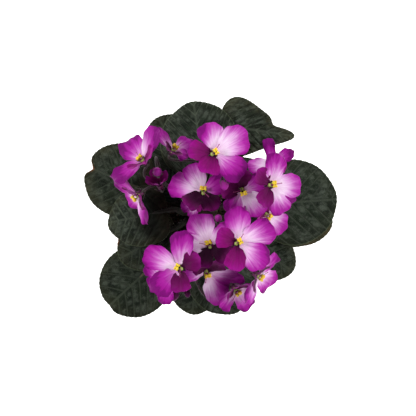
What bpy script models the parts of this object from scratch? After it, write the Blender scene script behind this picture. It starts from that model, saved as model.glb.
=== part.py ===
"""A potted African violet: a flowering plant of fifteen leaves and eighteen flowers in a plain plastic pot.

Frame: metres, +Z up, origin at the middle of the pot's flat base. +Y is the back of the plant.
All sizes below are in millimetres and are turned into metres by MM where a mesh is made.
"""

import math
import random
from collections import namedtuple

import bmesh
import bpy
from mathutils import Matrix, Vector

MM = 0.001
GAP = 0.3  # clearance between neighbouring solids
FACET_GAP = 0.2  # how far the flats of a faceted circle lie inside its radius
STEM_FOOT = 1.5  # straight length at the foot of every stem

# ---- driving dimensions of the pot, its soil and the crown of the plant ----
POT_HEIGHT = 80.0
POT_TOP_RADIUS = 45.0
POT_BASE_RADIUS = 31.0
POT_WALL = 1.6
POT_FLOOR = 2.2
RIM_HEIGHT = 12.0
RIM_STEP = 2.4
POT_EDGE = 0.5  # size of the pot's small chamfers
POT_SEGMENTS = 32
DRAIN_COUNT = 5
DRAIN_RADIUS = 4.0
DRAIN_CIRCLE = 19.0
DRAIN_SEGMENTS = 12

SOIL_TOP = 68.0
SOIL_SEGMENTS = 28
SOIL_RELIEF = 0.8
SOIL_SEED = 7

CROWN_RADIUS = 9.0
CROWN_TOP = 89.0
CROWN_SEGMENTS = 16
CROWN_NECK = 0.86  # radius of both ends as a share of the middle's
CROWN_SHOULDER = 3.0

# ---- leaves ----
PETIOLE_RADIUS = 2.0
MIDRIB_RADIUS = 0.9
PETIOLE_SIDES = 6
PETIOLE_STEPS = 5
PETIOLE_RISE = 10.0
KEEL = (0.06, 0.22, 0.5)  # where the petiole joins the blade and runs on below it, along its midrib
BLADE_SAMPLES = 18
BLADE_RINGS = (0.42, 0.76, 1.0)
BLADE_THICK = 1.5
BLADE_EDGE = 0.8
SINUS_DEPTH = 0.16  # the heart-shaped notch where the petiole joins, and its half angle
SINUS_ANGLE = 0.38
SHOULDER_SWELL = 0.05  # the swelling on each side of that notch, its angle from the petiole and half angle
SHOULDER_AT = 0.8
SHOULDER_ANGLE = 0.4
TIP_ANGLE = 0.2  # half angle of a notch in the tip

# name, base of the blade, compass heading and length of its midrib, width, slope of the midrib at base and tip,
# bank (left side up), curl of the margins (up is positive), taper towards the tip, depth of a notch in the tip,
# root on the crown (compass direction, height)
Leaf = namedtuple("Leaf", "name base heading length width rise fall bank curl taper notch root")
LEAVES = (
    Leaf("leaf_01", (0, 25, 94), 99, 54, 56, 16, -30, 0, -18, 0.10, 0.0, (97, 79.5)),
    Leaf("leaf_02", (-12, 27, 84), 118, 45, 46, 8, -14, 0, -12, 0.10, 0.0, (126, 74)),
    Leaf("leaf_03", (12, 62, 88), -9, 53, 38, 4, -12, 8, -26, 0.42, 0.0, (68, 79.5)),
    Leaf("leaf_04", (37, 5, 95), 4, 56, 60, 4, -20, 0, -10, 0.10, 0.0, (12, 79.5)),
    Leaf("leaf_05", (36, -2, 85), -7, 54, 40, 0, -12, 5, -8, 0.10, 0.0, (-2, 74)),
    Leaf("leaf_06", (22, -15, 89), -34, 48, 38, 0, -12, 0, -6, 0.10, 0.0, (-42, 74)),
    Leaf("leaf_07", (6, -24, 93), -75, 50, 50, 8, -24, 0, -14, 0.10, 0.0, (-70, 79.5)),
    Leaf("leaf_08", (-3, -27, 84), -98, 46, 40, 0, -16, 0, -12, 0.10, 0.0, (-100, 74)),
    Leaf("leaf_09", (-32, -33, 83), 223, 50, 50, 0, -14, 0, -10, 0.04, 0.06, (224, 74)),
    Leaf("leaf_10", (-17, -9, 93), 209, 49, 42, 0, -14, 0, -12, 0.10, 0.0, (205, 79.5)),
    Leaf("leaf_11", (-22, 2, 106), 192, 52, 42, -2, -46, 8, -16, 0.10, 0.0, (183, 84.5)),
    Leaf("leaf_12", (-38, 13, 86), 157, 50, 52, 2, -14, -8, -12, 0.06, 0.22, (160, 74)),
    Leaf("leaf_13", (21, -6, 101), -16, 32, 28, 8, -14, 0, 8, 0.10, 0.0, (-20, 84.5)),
    Leaf("leaf_14", (-14, 12, 90), 140, 24, 24, 4, -8, 0, 8, 0.10, 0.0, (140, 84.5)),
    Leaf("leaf_15", (15, 14, 98), 42, 30, 28, 6, -14, 0, 6, 0.10, 0.0, (46, 84.5)),
)

# ---- flowers ----
# lobes of one flower: direction from its upper side, reach and half width as shares of its size
LOBES = ((40, 0.74, 0.32), (110, 0.96, 0.38), (180, 1.04, 0.39), (250, 0.96, 0.38), (320, 0.74, 0.32))
LOBE_SAMPLES = (-20, 0, 20)
THROAT = 0.2
PETAL_RINGS = (THROAT, 0.6, 1.0)
PETAL_THICK = 0.8
THROAT_DEPTH = 2.0
TUBE_RADIUS = 2.3
TUBE_LENGTH = 4.5
PEDICEL_RADIUS = 0.9
PEDUNCLE_RADIUS = 1.4
CALYX_RADIUS = 2.4
CALYX_LENGTH = 3.0
STALK_SIDES = 6
KNOT_SWELL = 1.6  # radius of the knot at a fork as a share of the peduncle's
LOBE_RISE_POWER = 1.6  # lobes curve up towards their tips
LOBE_LIFT_SPREAD = 0.09
STAMEN_SIZE = (2.7, 1.5, 1.4)  # half width, half depth and half height of the two joined anthers
STAMEN_HEIGHT = 4.2
STAMEN_SHIFT = 1.2  # towards the large lower lobe
BUD_PROFILE = ((-0.5, 0.0), (-0.38, 0.24), (-0.05, 0.36), (0.28, 0.26), (0.5, 0.0))
BUD_SIDES = 8

# name, throat, compass direction that the face leans to, lean from straight up, turn about the face,
# size (reach of a large lobe), rise of the lobes as a share of their length, sideways bow of the pedicel,
# and whether the flower is open enough to show its stamens
Flower = namedtuple("Flower", "name at lean tilt turn size cup bow open")
FLOWERS = (
    Flower("flower_01", (-42, 35, 137), 136, 42, 0, 23.0, 0.14, (0, 0, 0), True),
    Flower("flower_02", (-21, 42, 131), 52, 40, 0, 16.0, 0.16, (0, 0, 0), True),
    Flower("flower_03", (6, 39, 152), 31, 14, 0, 25.5, 0.05, (4, 0, 0), True),
    Flower("flower_04", (-1, 14, 132), 85, 24, 0, 24.0, 0.06, (0, 0, 0), True),
    Flower("flower_05", (25, 14, 140), -62, 14, -12, 21.0, 0.06, (0, 0, 0), True),
    Flower("flower_06", (44, 18, 154), 6, 24, 0, 24.0, 0.07, (-1, 16, 0), True),
    Flower("flower_07", (46, 33, 129), 105, 20, 0, 17.0, 0.08, (0, 0, 0), False),
    Flower("flower_08", (42, -2, 121), -38, 44, 0, 21.0, 0.10, (0, 0, 0), True),
    Flower("flower_09", (22, -20, 152), 29, 10, 0, 26.0, 0.05, (3, -3, 0), True),
    Flower("flower_10", (3, -22, 134), 108, 20, 0, 24.5, 0.06, (0, 0, 0), True),
    Flower("flower_11", (-17, -37, 143), 153, 14, 0, 27.0, 0.07, (-5, -1, 0), True),
    Flower("flower_12", (1, -41, 125), -55, 28, -25, 25.5, 0.08, (0, 0, 0), True),
    Flower("flower_13", (21, -53, 128), -52, 42, 0, 17.5, 0.16, (0, -24, -8), True),
    Flower("flower_14", (36, -43, 133), -32, 54, 0, 21.5, 0.10, (0, 0, 0), True),
    Flower("flower_15", (-46, 11, 126), 217, 62, 0, 21.5, 0.12, (0, 0, 0), True),
    Flower("flower_16", (-28, -46, 116), 205, 18, 0, 18.0, 0.04, (0, 0, 0), False),
    Flower("flower_17", (-7, 5, 114), 190, 20, 0, 10.5, 0.10, (0, 0, 0), False),
    Flower("flower_18", (-29, 17, 121), -70, 40, 0, 9.5, 0.75, (0, 0, 0), False),
)

# name, middle, compass lean, lean from straight up, length, sideways bow of the pedicel
Bud = namedtuple("Bud", "name at lean tilt size bow")
BUDS = (
    Bud("bud_01", (-33, 27, 132), 100, 20, 7.0, (-9, 9, 0)),
    Bud("bud_02", (13, 18, 149), -90, 60, 8.0, (-2, 4, 2)),
    Bud("bud_03", (9, -4, 143), 60, 20, 7.0, (-3, 12, 0)),
    Bud("bud_04", (-21, -57, 111), -110, 60, 9.0, (0, 0, 0)),
    Bud("bud_05", (-12, -56, 110), -80, 50, 6.0, (0, 0, 0)),
)

# name, foot on the crown's dome, fork of the stalk, and the flowers and buds that it carries
Stalk = namedtuple("Stalk", "name foot fork carries")
STALKS = (
    Stalk("stalk_left", (150, 4.5), (-29, 20, 108), "flower_01 flower_15 flower_18 bud_01"),
    Stalk("stalk_back", (85, 4.5), (8, 36, 108), "flower_02 flower_03 flower_04 flower_17 bud_02"),
    Stalk("stalk_right", (20, 4.5), (30, 12, 109), "flower_05 flower_06 flower_07 flower_08"),
    Stalk("stalk_middle", (-45, 4.5), (19, -20, 108), "flower_09 flower_10 flower_14 bud_03"),
    Stalk("stalk_front", (-110, 4.5), (-8, -36, 105), "flower_11 flower_12 flower_13 flower_16 bud_04 bud_05"),
)

# base colour, roughness
FINISHES = {
    "pot_plastic": ((0.42, 0.17, 0.09), 0.5),
    "soil": ((0.05, 0.032, 0.022), 0.95),
    "stem": ((0.16, 0.19, 0.09), 0.7),
    "leaf": ((0.025, 0.05, 0.02), 0.75),
    "petal": ((0.55, 0.03, 0.42), 0.6),
    "stamen": ((0.85, 0.62, 0.03), 0.6),
    "flower_stalk": ((0.13, 0.04, 0.06), 0.7),
    "bud": ((0.35, 0.02, 0.25), 0.65),
}


def clear_scene():
    for obj in list(bpy.data.objects):
        bpy.data.objects.remove(obj)


def make_material(name):
    colour, roughness = FINISHES[name]
    material = bpy.data.materials.new(name)
    material.use_nodes = True
    shader = material.node_tree.nodes["Principled BSDF"]
    shader.inputs["Base Color"].default_value = (*colour, 1.0)
    shader.inputs["Roughness"].default_value = roughness
    shader.inputs["Metallic"].default_value = 0.0
    return material


def add_object(name, bm, finish):
    """A named object from a mesh in millimetres, with its faces pointing out."""
    bmesh.ops.recalc_face_normals(bm, faces=bm.faces)
    if bm.calc_volume(signed=True) < 0:
        bmesh.ops.reverse_faces(bm, faces=bm.faces)
    bmesh.ops.scale(bm, vec=(MM, MM, MM), verts=bm.verts)
    mesh = bpy.data.meshes.new(name)
    bm.to_mesh(mesh)
    bm.free()
    mesh.shade_smooth()
    mesh.set_sharp_from_angle(angle=math.radians(50))
    mesh.materials.append(bpy.data.materials.get(finish) or make_material(finish))
    obj = bpy.data.objects.new(name, mesh)
    bpy.context.scene.collection.objects.link(obj)
    return obj


def make_helper(obj):
    obj.hide_render = True
    obj.display_type = "WIRE"


def add_boolean(obj, other, operation):
    modifier = obj.modifiers.new(operation.lower(), "BOOLEAN")
    modifier.operation = operation
    modifier.solver = "EXACT"
    modifier.object = other
    make_helper(other)


def compass(degrees, elevation=0.0):
    """Unit vector at that compass direction (anticlockwise from +X) and elevation."""
    a, e = math.radians(degrees), math.radians(elevation)
    return Vector((math.cos(a) * math.cos(e), math.sin(a) * math.cos(e), math.sin(e)))


def bezier(a, b, c, d, steps):
    points = []
    for i in range(steps + 1):
        t = i / steps
        s = 1 - t
        points.append(a * s**3 + b * (3 * s * s * t) + c * (3 * s * t * t) + d * t**3)
    return points


# ---- shapes that several parts share ----


def turned(bm, profile, segments):
    """A closed shape turned about Z from (radius, height) points; a point of radius 0 is a pole."""
    rings = []
    for radius, height in profile:
        if radius == 0:
            rings.append([bm.verts.new((0, 0, height))])
            continue
        ring = []
        for i in range(segments):
            a = 2 * math.pi * i / segments
            ring.append(bm.verts.new((radius * math.cos(a), radius * math.sin(a), height)))
        rings.append(ring)
    join_rings(bm, rings)
    return rings


def join_rings(bm, rings):
    """Faces between each ring of points and the next. A ring of one point is a pole."""
    for near, far in zip(rings, rings[1:]):
        count = max(len(near), len(far))
        for i in range(count):
            j = (i + 1) % count
            corners = [near[i % len(near)], near[j % len(near)], far[j % len(far)], far[i % len(far)]]
            unique = list(dict.fromkeys(corners))
            bm.faces.new(unique)


def tube(bm, points, radii, sides):
    """A capped tube through the points, with a radius at each."""
    side = None
    rings = []
    for i, point in enumerate(points):
        ahead = points[min(i + 1, len(points) - 1)]
        behind = points[max(i - 1, 0)]
        along = (ahead - behind).normalized()
        if side is None:
            side = along.orthogonal().normalized()
        side = (side - along * side.dot(along)).normalized()
        up = along.cross(side)
        ring = []
        for k in range(sides):
            a = 2 * math.pi * k / sides
            ring.append(bm.verts.new(point + (side * math.cos(a) + up * math.sin(a)) * radii[i]))
        rings.append(ring)
    join_rings(bm, rings)
    bm.faces.new(rings[0])
    bm.faces.new(rings[-1])


# ---- pot, soil and crown ----


def inner_radius(height):
    """Radius of the inside of the pot's wall."""
    share = (height - POT_FLOOR) / (POT_HEIGHT - POT_FLOOR)
    bottom = POT_BASE_RADIUS - POT_WALL
    return bottom + (POT_TOP_RADIUS - POT_WALL - bottom) * share


def make_pot():
    """A tapered pot with a stepped rim and drainage holes round a solid middle of its base."""
    step = POT_HEIGHT - RIM_HEIGHT
    below = inner_radius(step) + POT_WALL
    profile = [
        (0, 0),
        (POT_BASE_RADIUS - 3 * POT_EDGE, 0),
        (POT_BASE_RADIUS - POT_EDGE, POT_EDGE),
        (POT_BASE_RADIUS, 3 * POT_EDGE),
        (below, step),
        (below + RIM_STEP - POT_EDGE, step),
        (below + RIM_STEP, step + 2 * POT_EDGE),
        (POT_TOP_RADIUS + RIM_STEP, POT_HEIGHT - 2 * POT_EDGE),
        (POT_TOP_RADIUS + RIM_STEP - 2 * POT_EDGE, POT_HEIGHT),
        (inner_radius(POT_HEIGHT) + POT_EDGE, POT_HEIGHT),
        (inner_radius(POT_HEIGHT), POT_HEIGHT - POT_EDGE),
        (inner_radius(POT_FLOOR), POT_FLOOR),
        (0, POT_FLOOR),
    ]
    bm = bmesh.new()
    turned(bm, profile, POT_SEGMENTS)
    pot = add_object("pot", bm, "pot_plastic")
    cutters = bmesh.new()
    for i in range(DRAIN_COUNT):
        middle = compass(360 * (i + 0.5) / DRAIN_COUNT) * DRAIN_CIRCLE
        bmesh.ops.create_cone(
            cutters,
            cap_ends=True,
            segments=DRAIN_SEGMENTS,
            radius1=DRAIN_RADIUS,
            radius2=DRAIN_RADIUS,
            depth=4 * POT_FLOOR,
            matrix=Matrix.Translation(middle),
        )
    add_boolean(pot, add_object("drain_cutters", cutters, "pot_plastic"), "DIFFERENCE")


def make_soil():
    """The block of potting mix, lumpy on top and flat under the crown."""
    low = POT_FLOOR + GAP
    bottom = inner_radius(low) - GAP - FACET_GAP
    rim = inner_radius(SOIL_TOP) - GAP - FACET_GAP
    profile = [
        (0, low),
        (bottom, low),
        (rim, SOIL_TOP - SOIL_RELIEF),
        (0.78 * rim, SOIL_TOP),
        (0.5 * rim, SOIL_TOP),
        (CROWN_RADIUS + 2, SOIL_TOP),
        (0, SOIL_TOP),
    ]
    bm = bmesh.new()
    rings = turned(bm, profile, SOIL_SEGMENTS)
    lumps = random.Random(SOIL_SEED)
    for vert in rings[3] + rings[4]:
        vert.co.z += lumps.uniform(-SOIL_RELIEF, SOIL_RELIEF)
    add_object("soil", bm, "soil")


def make_crown():
    """The short thick stem that every leaf and flower stalk grows from."""
    low = SOIL_TOP + GAP
    narrow = CROWN_RADIUS * CROWN_NECK
    profile = [
        (0, low),
        (narrow, low),
        (CROWN_RADIUS, low + CROWN_SHOULDER),
        (CROWN_RADIUS, CROWN_TOP - CROWN_SHOULDER),
        (narrow, CROWN_TOP),
        (0, CROWN_TOP),
    ]
    bm = bmesh.new()
    turned(bm, profile, CROWN_SEGMENTS)
    add_object("crown", bm, "stem")


# ---- leaves ----


def bump(angle, middle, half):
    """A smooth hump that is 1 at its middle angle and fades over its half angle."""
    return math.exp(-(((angle - middle) / half) ** 2))


def blade_outline(leaf, angle):
    """Point of the margin at that angle round the middle of the blade: (along the midrib, to its left)."""
    x = math.cos(angle)
    y = math.sin(angle)
    reach = 1 / math.hypot(x / (leaf.length / 2), y / (leaf.width / 2))
    from_base = math.pi - abs(angle)
    reach *= 1 - SINUS_DEPTH * bump(from_base, 0, SINUS_ANGLE)
    reach *= 1 + SHOULDER_SWELL * bump(from_base, SHOULDER_AT, SHOULDER_ANGLE)
    reach *= 1 - leaf.notch * bump(angle, 0, TIP_ANGLE)
    return leaf.length / 2 + reach * x, reach * y * (1 - leaf.taper * x)


def on_blade(leaf, along, left, lift=0.0):
    """Where a point of the flat blade lies once the midrib arches and the margins curl."""
    rise, fall = math.radians(leaf.rise), math.radians(leaf.fall)
    bend = (fall - rise) / leaf.length
    pitch = rise + bend * along
    flat = (math.sin(pitch) - math.sin(rise)) / bend
    high = (math.cos(rise) - math.cos(pitch)) / bend
    ahead = compass(leaf.heading)
    side = compass(leaf.heading + 90)
    normal = Vector((0, 0, 1)) * math.cos(pitch) - ahead * math.sin(pitch)
    bank = math.radians(leaf.bank)
    across = side * math.cos(bank) + normal * math.sin(bank)
    normal = normal * math.cos(bank) - side * math.sin(bank)
    curl = math.radians(leaf.curl) / (leaf.width / 2)
    turn = curl * left
    sideways = math.sin(turn) / curl
    upward = (1 - math.cos(turn)) / curl
    midrib = Vector(leaf.base) + ahead * flat + Vector((0, 0, high))
    return midrib + across * sideways + normal * (upward + lift)


def petiole_path(leaf):
    """From the crown out to the blade, then a little way along under the midrib."""
    azimuth, height = leaf.root
    foot = compass(azimuth) * (CROWN_RADIUS + GAP) + Vector((0, 0, height))
    start = foot + compass(azimuth) * STEM_FOOT
    joint, quarter, half = [on_blade(leaf, share * leaf.length, 0, -BLADE_THICK / 2) for share in KEEL]
    handle = (joint - start).length * 0.35
    leave = start + compass(azimuth, PETIOLE_RISE) * handle
    arrive = joint - compass(leaf.heading, leaf.rise) * handle
    return [foot] + bezier(start, leave, arrive, joint, PETIOLE_STEPS) + [quarter, half]


def make_leaf(leaf):
    bm = bmesh.new()
    middle = on_blade(leaf, leaf.length / 2, 0)
    half = Vector((0, 0, BLADE_THICK / 2))
    top, under = [[bm.verts.new(middle + half)]], [[bm.verts.new(middle - half)]]
    for share in BLADE_RINGS:
        thick = BLADE_THICK + (BLADE_EDGE - BLADE_THICK) * share**2
        upper, lower = [], []
        for i in range(BLADE_SAMPLES):
            angle = 2 * math.pi * i / BLADE_SAMPLES - math.pi
            x, y = blade_outline(leaf, angle)
            x = leaf.length / 2 + (x - leaf.length / 2) * share
            y = y * share
            upper.append(bm.verts.new(on_blade(leaf, x, y, thick / 2)))
            lower.append(bm.verts.new(on_blade(leaf, x, y, -thick / 2)))
        top.append(upper)
        under.append(lower)
    join_rings(bm, top + under[::-1])
    blade = add_object(leaf.name, bm, "leaf")
    path = petiole_path(leaf)
    swell = [PETIOLE_RADIUS * (1.1 - 0.2 * i / PETIOLE_STEPS) for i in range(PETIOLE_STEPS + 2)]
    stem = bmesh.new()
    tube(stem, path, swell + [MIDRIB_RADIUS * 1.3, MIDRIB_RADIUS * 0.7], PETIOLE_SIDES)
    add_boolean(blade, add_object(leaf.name + "_petiole", stem, "leaf"), "UNION")


# ---- flowers ----


def facing(lean, tilt, turn=0.0):
    """Right, upper side and face direction of a flower that leans that way and is turned about its face."""
    face = compass(lean, 90 - tilt)
    upper = Matrix.Rotation(math.radians(turn), 3, face) @ -compass(lean, -tilt)
    return upper.cross(face), upper, face


def corolla_reach(angle):
    """Margin of the corolla as a share of its size, at that angle in degrees from its upper side."""
    reach = 0.0
    for middle, length, half in LOBES:
        off = math.radians((angle - middle + 180) % 360 - 180)
        if abs(off) < math.pi / 2:
            near, across = math.cos(off) / (length / 2), math.sin(off) / half
            reach = max(reach, 2 * near / (near**2 + across**2))
    return reach


def lobe_tilts(flower):
    """Each lobe's own small lift, as a share of its length."""
    luck = random.Random(flower.name)
    return [luck.uniform(-LOBE_LIFT_SPREAD, LOBE_LIFT_SPREAD) for _ in LOBES]


def corolla_angles():
    """Sample angles round the corolla: (angle, lobe), with one at each cleft."""
    samples = []
    for i, (middle, _, _) in enumerate(LOBES):
        samples += [(middle + step, i) for step in LOBE_SAMPLES]
        following = LOBES[(i + 1) % len(LOBES)][0] + (360 if i + 1 == len(LOBES) else 0)
        samples.append(((middle + following) / 2, None))
    return samples


def make_flower(flower):
    right, upper, face = facing(flower.lean, flower.tilt, flower.turn)
    at = Vector(flower.at)
    tilts = lobe_tilts(flower)
    bm = bmesh.new()

    def place(angle, out, height):
        a = math.radians(angle)
        return bm.verts.new(at + (upper * math.cos(a) + right * math.sin(a)) * out + face * height)

    top = [[bm.verts.new(at - face * THROAT_DEPTH)]]
    under = []
    for share in PETAL_RINGS:
        upper_ring, lower_ring = [], []
        for angle, lobe in corolla_angles():
            out = corolla_reach(angle) * flower.size * share
            lift = flower.cup + (tilts[lobe] if lobe is not None else 0)
            if share == THROAT:
                out, lift = flower.size * THROAT, 0.0
            rise = lift * flower.size * share**LOBE_RISE_POWER
            upper_ring.append(place(angle, out, rise))
            if share != PETAL_RINGS[1]:
                lower_ring.append(place(angle, out, rise - PETAL_THICK))
        top.append(upper_ring)
        if lower_ring:
            under.append(lower_ring)
    collar = [place(angle, TUBE_RADIUS, -THROAT_DEPTH) for angle, _ in corolla_angles()]
    end = [place(angle, TUBE_RADIUS * 0.8, -TUBE_LENGTH) for angle, _ in corolla_angles()]
    pole = [bm.verts.new(at - face * TUBE_LENGTH)]
    join_rings(bm, top + under[::-1] + [collar, end, pole])
    add_object(flower.name, bm, "petal")


def make_stamens(flower):
    """The two joined yellow anthers on their short filament."""
    right, upper, face = facing(flower.lean, flower.tilt, flower.turn)
    foot = Vector(flower.at) - face * (THROAT_DEPTH - GAP)
    middle = foot + face * STAMEN_HEIGHT - upper * STAMEN_SHIFT
    wide, deep, high = STAMEN_SIZE
    bm = bmesh.new()
    bmesh.ops.create_uvsphere(bm, u_segments=8, v_segments=4, radius=1.0)
    bm.verts.ensure_lookup_table()
    lowest = min(bm.verts, key=lambda vert: vert.co.z)
    for vert in bm.verts:
        x, y, z = vert.co
        waist = 0.7 + 0.3 * min(1.0, 1.6 * abs(x))
        vert.co = middle + right * (wide * x) + upper * (deep * y * waist) + face * (high * z * waist)
    lowest.co = foot
    add_object(flower.name.replace("flower", "stamens"), bm, "stamen")


def make_bud(bud):
    """A closed bud: a drop with its blunt end on the stalk."""
    right, upper, face = facing(bud.lean, bud.tilt)
    bm = bmesh.new()
    rings = []
    for along, out in BUD_PROFILE:
        middle = Vector(bud.at) + face * along * bud.size
        ring = []
        for k in range(BUD_SIDES if out else 1):
            a = 2 * math.pi * k / BUD_SIDES
            ring.append(bm.verts.new(middle + (right * math.cos(a) + upper * math.sin(a)) * out * bud.size))
        rings.append(ring)
    join_rings(bm, rings)
    add_object(bud.name, bm, "bud")


def stalk_end(carried):
    """Where a pedicel meets what it carries, and the direction that it arrives in."""
    face = facing(carried.lean, carried.tilt)[2]
    back = TUBE_LENGTH if isinstance(carried, Flower) else carried.size / 2
    return Vector(carried.at) - face * (back + GAP), face


def make_stalk(stalk):
    """One flower stalk: a stem from the crown that forks into a pedicel for each flower."""
    azimuth, out = stalk.foot
    foot = compass(azimuth) * out + Vector((0, 0, CROWN_TOP + GAP))
    start = foot + Vector((0, 0, STEM_FOOT))
    fork = Vector(stalk.fork)
    span = (fork - start).length
    bm = bmesh.new()
    arrive = fork - compass(azimuth, 45) * span * 0.35
    main = [foot] + bezier(start, start + Vector((0, 0, span * 0.3)), arrive, fork, 5)
    tube(bm, main, [PEDUNCLE_RADIUS] * len(main), STALK_SIDES)
    carried = {item.name: item for item in FLOWERS + BUDS}
    for name in stalk.carries.split():
        end, face = stalk_end(carried[name])
        reach = (end - fork).length
        calyx_start = end - face * CALYX_LENGTH
        start = fork - (calyx_start - fork).normalized() * 0.5
        bow = Vector(carried[name].bow)
        leave = start + bow + Vector((0, 0, reach * 0.3))
        path = bezier(start, leave, calyx_start + bow - face * reach * 0.3, calyx_start, 4)
        wide = CALYX_RADIUS if name.startswith("flower") else CALYX_RADIUS * 0.6
        path.append(end)
        tube(bm, path, [PEDICEL_RADIUS] * (len(path) - 1) + [wide], STALK_SIDES)
    branches = add_object(stalk.name, bm, "flower_stalk")
    knot = bmesh.new()
    size = PEDUNCLE_RADIUS * KNOT_SWELL
    bmesh.ops.create_icosphere(knot, subdivisions=1, radius=size, matrix=Matrix.Translation(fork))
    add_boolean(branches, add_object(stalk.name + "_knot", knot, "flower_stalk"), "UNION")
    branches.modifiers[-1].use_self = True


clear_scene()
make_pot()
make_soil()
make_crown()
for leaf in LEAVES:
    make_leaf(leaf)
for flower in FLOWERS:
    make_flower(flower)
    if flower.open:
        make_stamens(flower)
for bud in BUDS:
    make_bud(bud)
for stalk in STALKS:
    make_stalk(stalk)
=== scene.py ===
"""The finished look of a potted African violet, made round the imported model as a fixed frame.

Sizes are in millimetres, in the model's own frame, and MM turns them into metres where a mesh is made.
"""

import math
import random
from collections import namedtuple

import bmesh
import bpy
import numpy as np
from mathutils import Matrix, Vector


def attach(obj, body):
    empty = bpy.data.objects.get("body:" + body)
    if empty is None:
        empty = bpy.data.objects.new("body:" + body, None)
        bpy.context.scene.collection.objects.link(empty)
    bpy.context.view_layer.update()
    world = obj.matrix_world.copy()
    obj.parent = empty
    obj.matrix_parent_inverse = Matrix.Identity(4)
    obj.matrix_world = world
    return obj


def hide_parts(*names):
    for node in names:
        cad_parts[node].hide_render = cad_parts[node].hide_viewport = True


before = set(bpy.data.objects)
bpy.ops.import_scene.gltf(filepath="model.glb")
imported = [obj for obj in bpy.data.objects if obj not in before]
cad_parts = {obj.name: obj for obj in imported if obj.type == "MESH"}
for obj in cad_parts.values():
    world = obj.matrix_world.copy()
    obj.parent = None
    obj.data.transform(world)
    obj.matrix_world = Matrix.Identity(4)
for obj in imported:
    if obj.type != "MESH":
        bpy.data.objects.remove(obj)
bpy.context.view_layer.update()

MM = 0.001
GAP = 0.3  # left between pieces that meet
STEM_FOOT = 1.5  # straight stretch of a stem where it leaves the crown
FULL_TURN = 2 * math.pi

# ---- pot, soil and crown ----
POT_HEIGHT = 80.0
POT_TOP_RADIUS = 45.0
POT_BASE_RADIUS = 31.0
POT_WALL = 1.6
POT_FLOOR = 2.2
RIM_HEIGHT = 12.0
RIM_STEP = 2.4
DRAIN_COUNT = 5
DRAIN_RADIUS = 4.0
DRAIN_CIRCLE = 19.0
POT_EASING = 1.1  # how far its corners are eased
SOIL_TOP = 68.0
CROWN_RADIUS = 9.0
CROWN_TOP = 89.0
YOUNG_LEAVES = 7
YOUNG_TURN = 137.5  # from one young leaf to the next

# ---- leaves ----
PETIOLE_RADIUS = 2.0
MIDRIB_RADIUS = 0.9
PETIOLE_STEPS = 16
PETIOLE_RISE = 10.0
KEEL = (0.06, 0.22, 0.5, 0.8)  # shares of the blade's length at which the midrib is fixed under it
BLADE_ANGLES = 192
BLADE_RINGS = 30
BLADE_THICK = 1.3
BLADE_EDGE = 0.55
# the outline: the dip where the petiole joins, the shoulders beside it, the notch and the teeth
SINUS_DEPTH = 0.16
SINUS_ANGLE = 0.38
SHOULDER_SWELL = 0.05
SHOULDER_AT = 0.8
SHOULDER_ANGLE = 0.4
TIP_ANGLE = 0.2
# a waist on the left of the tip, which leaves the tip narrow
WAIST = {"leaf_03": 0.26}
WAIST_AT = 0.62
WAIST_ANGLE = 0.27
MARGIN_TEETH = 46
TOOTH_DEPTH = 0.012
VEIN_PAIRS = 7.5
VEIN_SWEEP = 0.012
VEIN_HALF = 0.95
CROSS_HALF = 0.8
MIDRIB_HALF = 1.5
# the browned stretch of a leaf's margin: share of the way out where it starts, its middle and half angle
SCORCHED = {"leaf_12": (0.9, 0, 0.16), "leaf_10": (0.93, -0.5, 0.1)}
UNDER_HAIRS = 0.25  # how hairy the under side is beside the upper side
CROSS_SPACING = 5.5  # between the small veins that join one side vein to the next
# depth of a leaf's quilting, slant of its side veins, depth of its cross veins, and how light its side
# veins
# are drawn: a painted highlight on the upper side, their own paler colour on the under side
Veining = namedtuple("Veining", "depth slant crossing paleness")
PLAIN_VEINING = Veining(1.2, 0.6, 0.6, 0.5)
VEINING = {
    "leaf_01": Veining(2.4, 1.3, 0.15, 1.0),
    "leaf_02": Veining(1.6, 1.0, 0.3, 0.8),
    "leaf_03": Veining(3.0, 1.2, 0.3, 1.0),
    "leaf_11": Veining(1.5, 0.6, 0.6, 0.9),
}
# painted shade at the heart of the plant, standing in for the deep shadow there: its middle, the radii
# between which the painted shade fades, and how much less it counts north and south
HEART = (-31.5, 8.0)
HEART_INNER = 13.0
HEART_OUTER = 22.0
HEART_SQUEEZE = 0.55
HEART_SHADE = 0.92
PETIOLE_SHADE = 45.0  # how far out the shade reaches on the petioles

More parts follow.
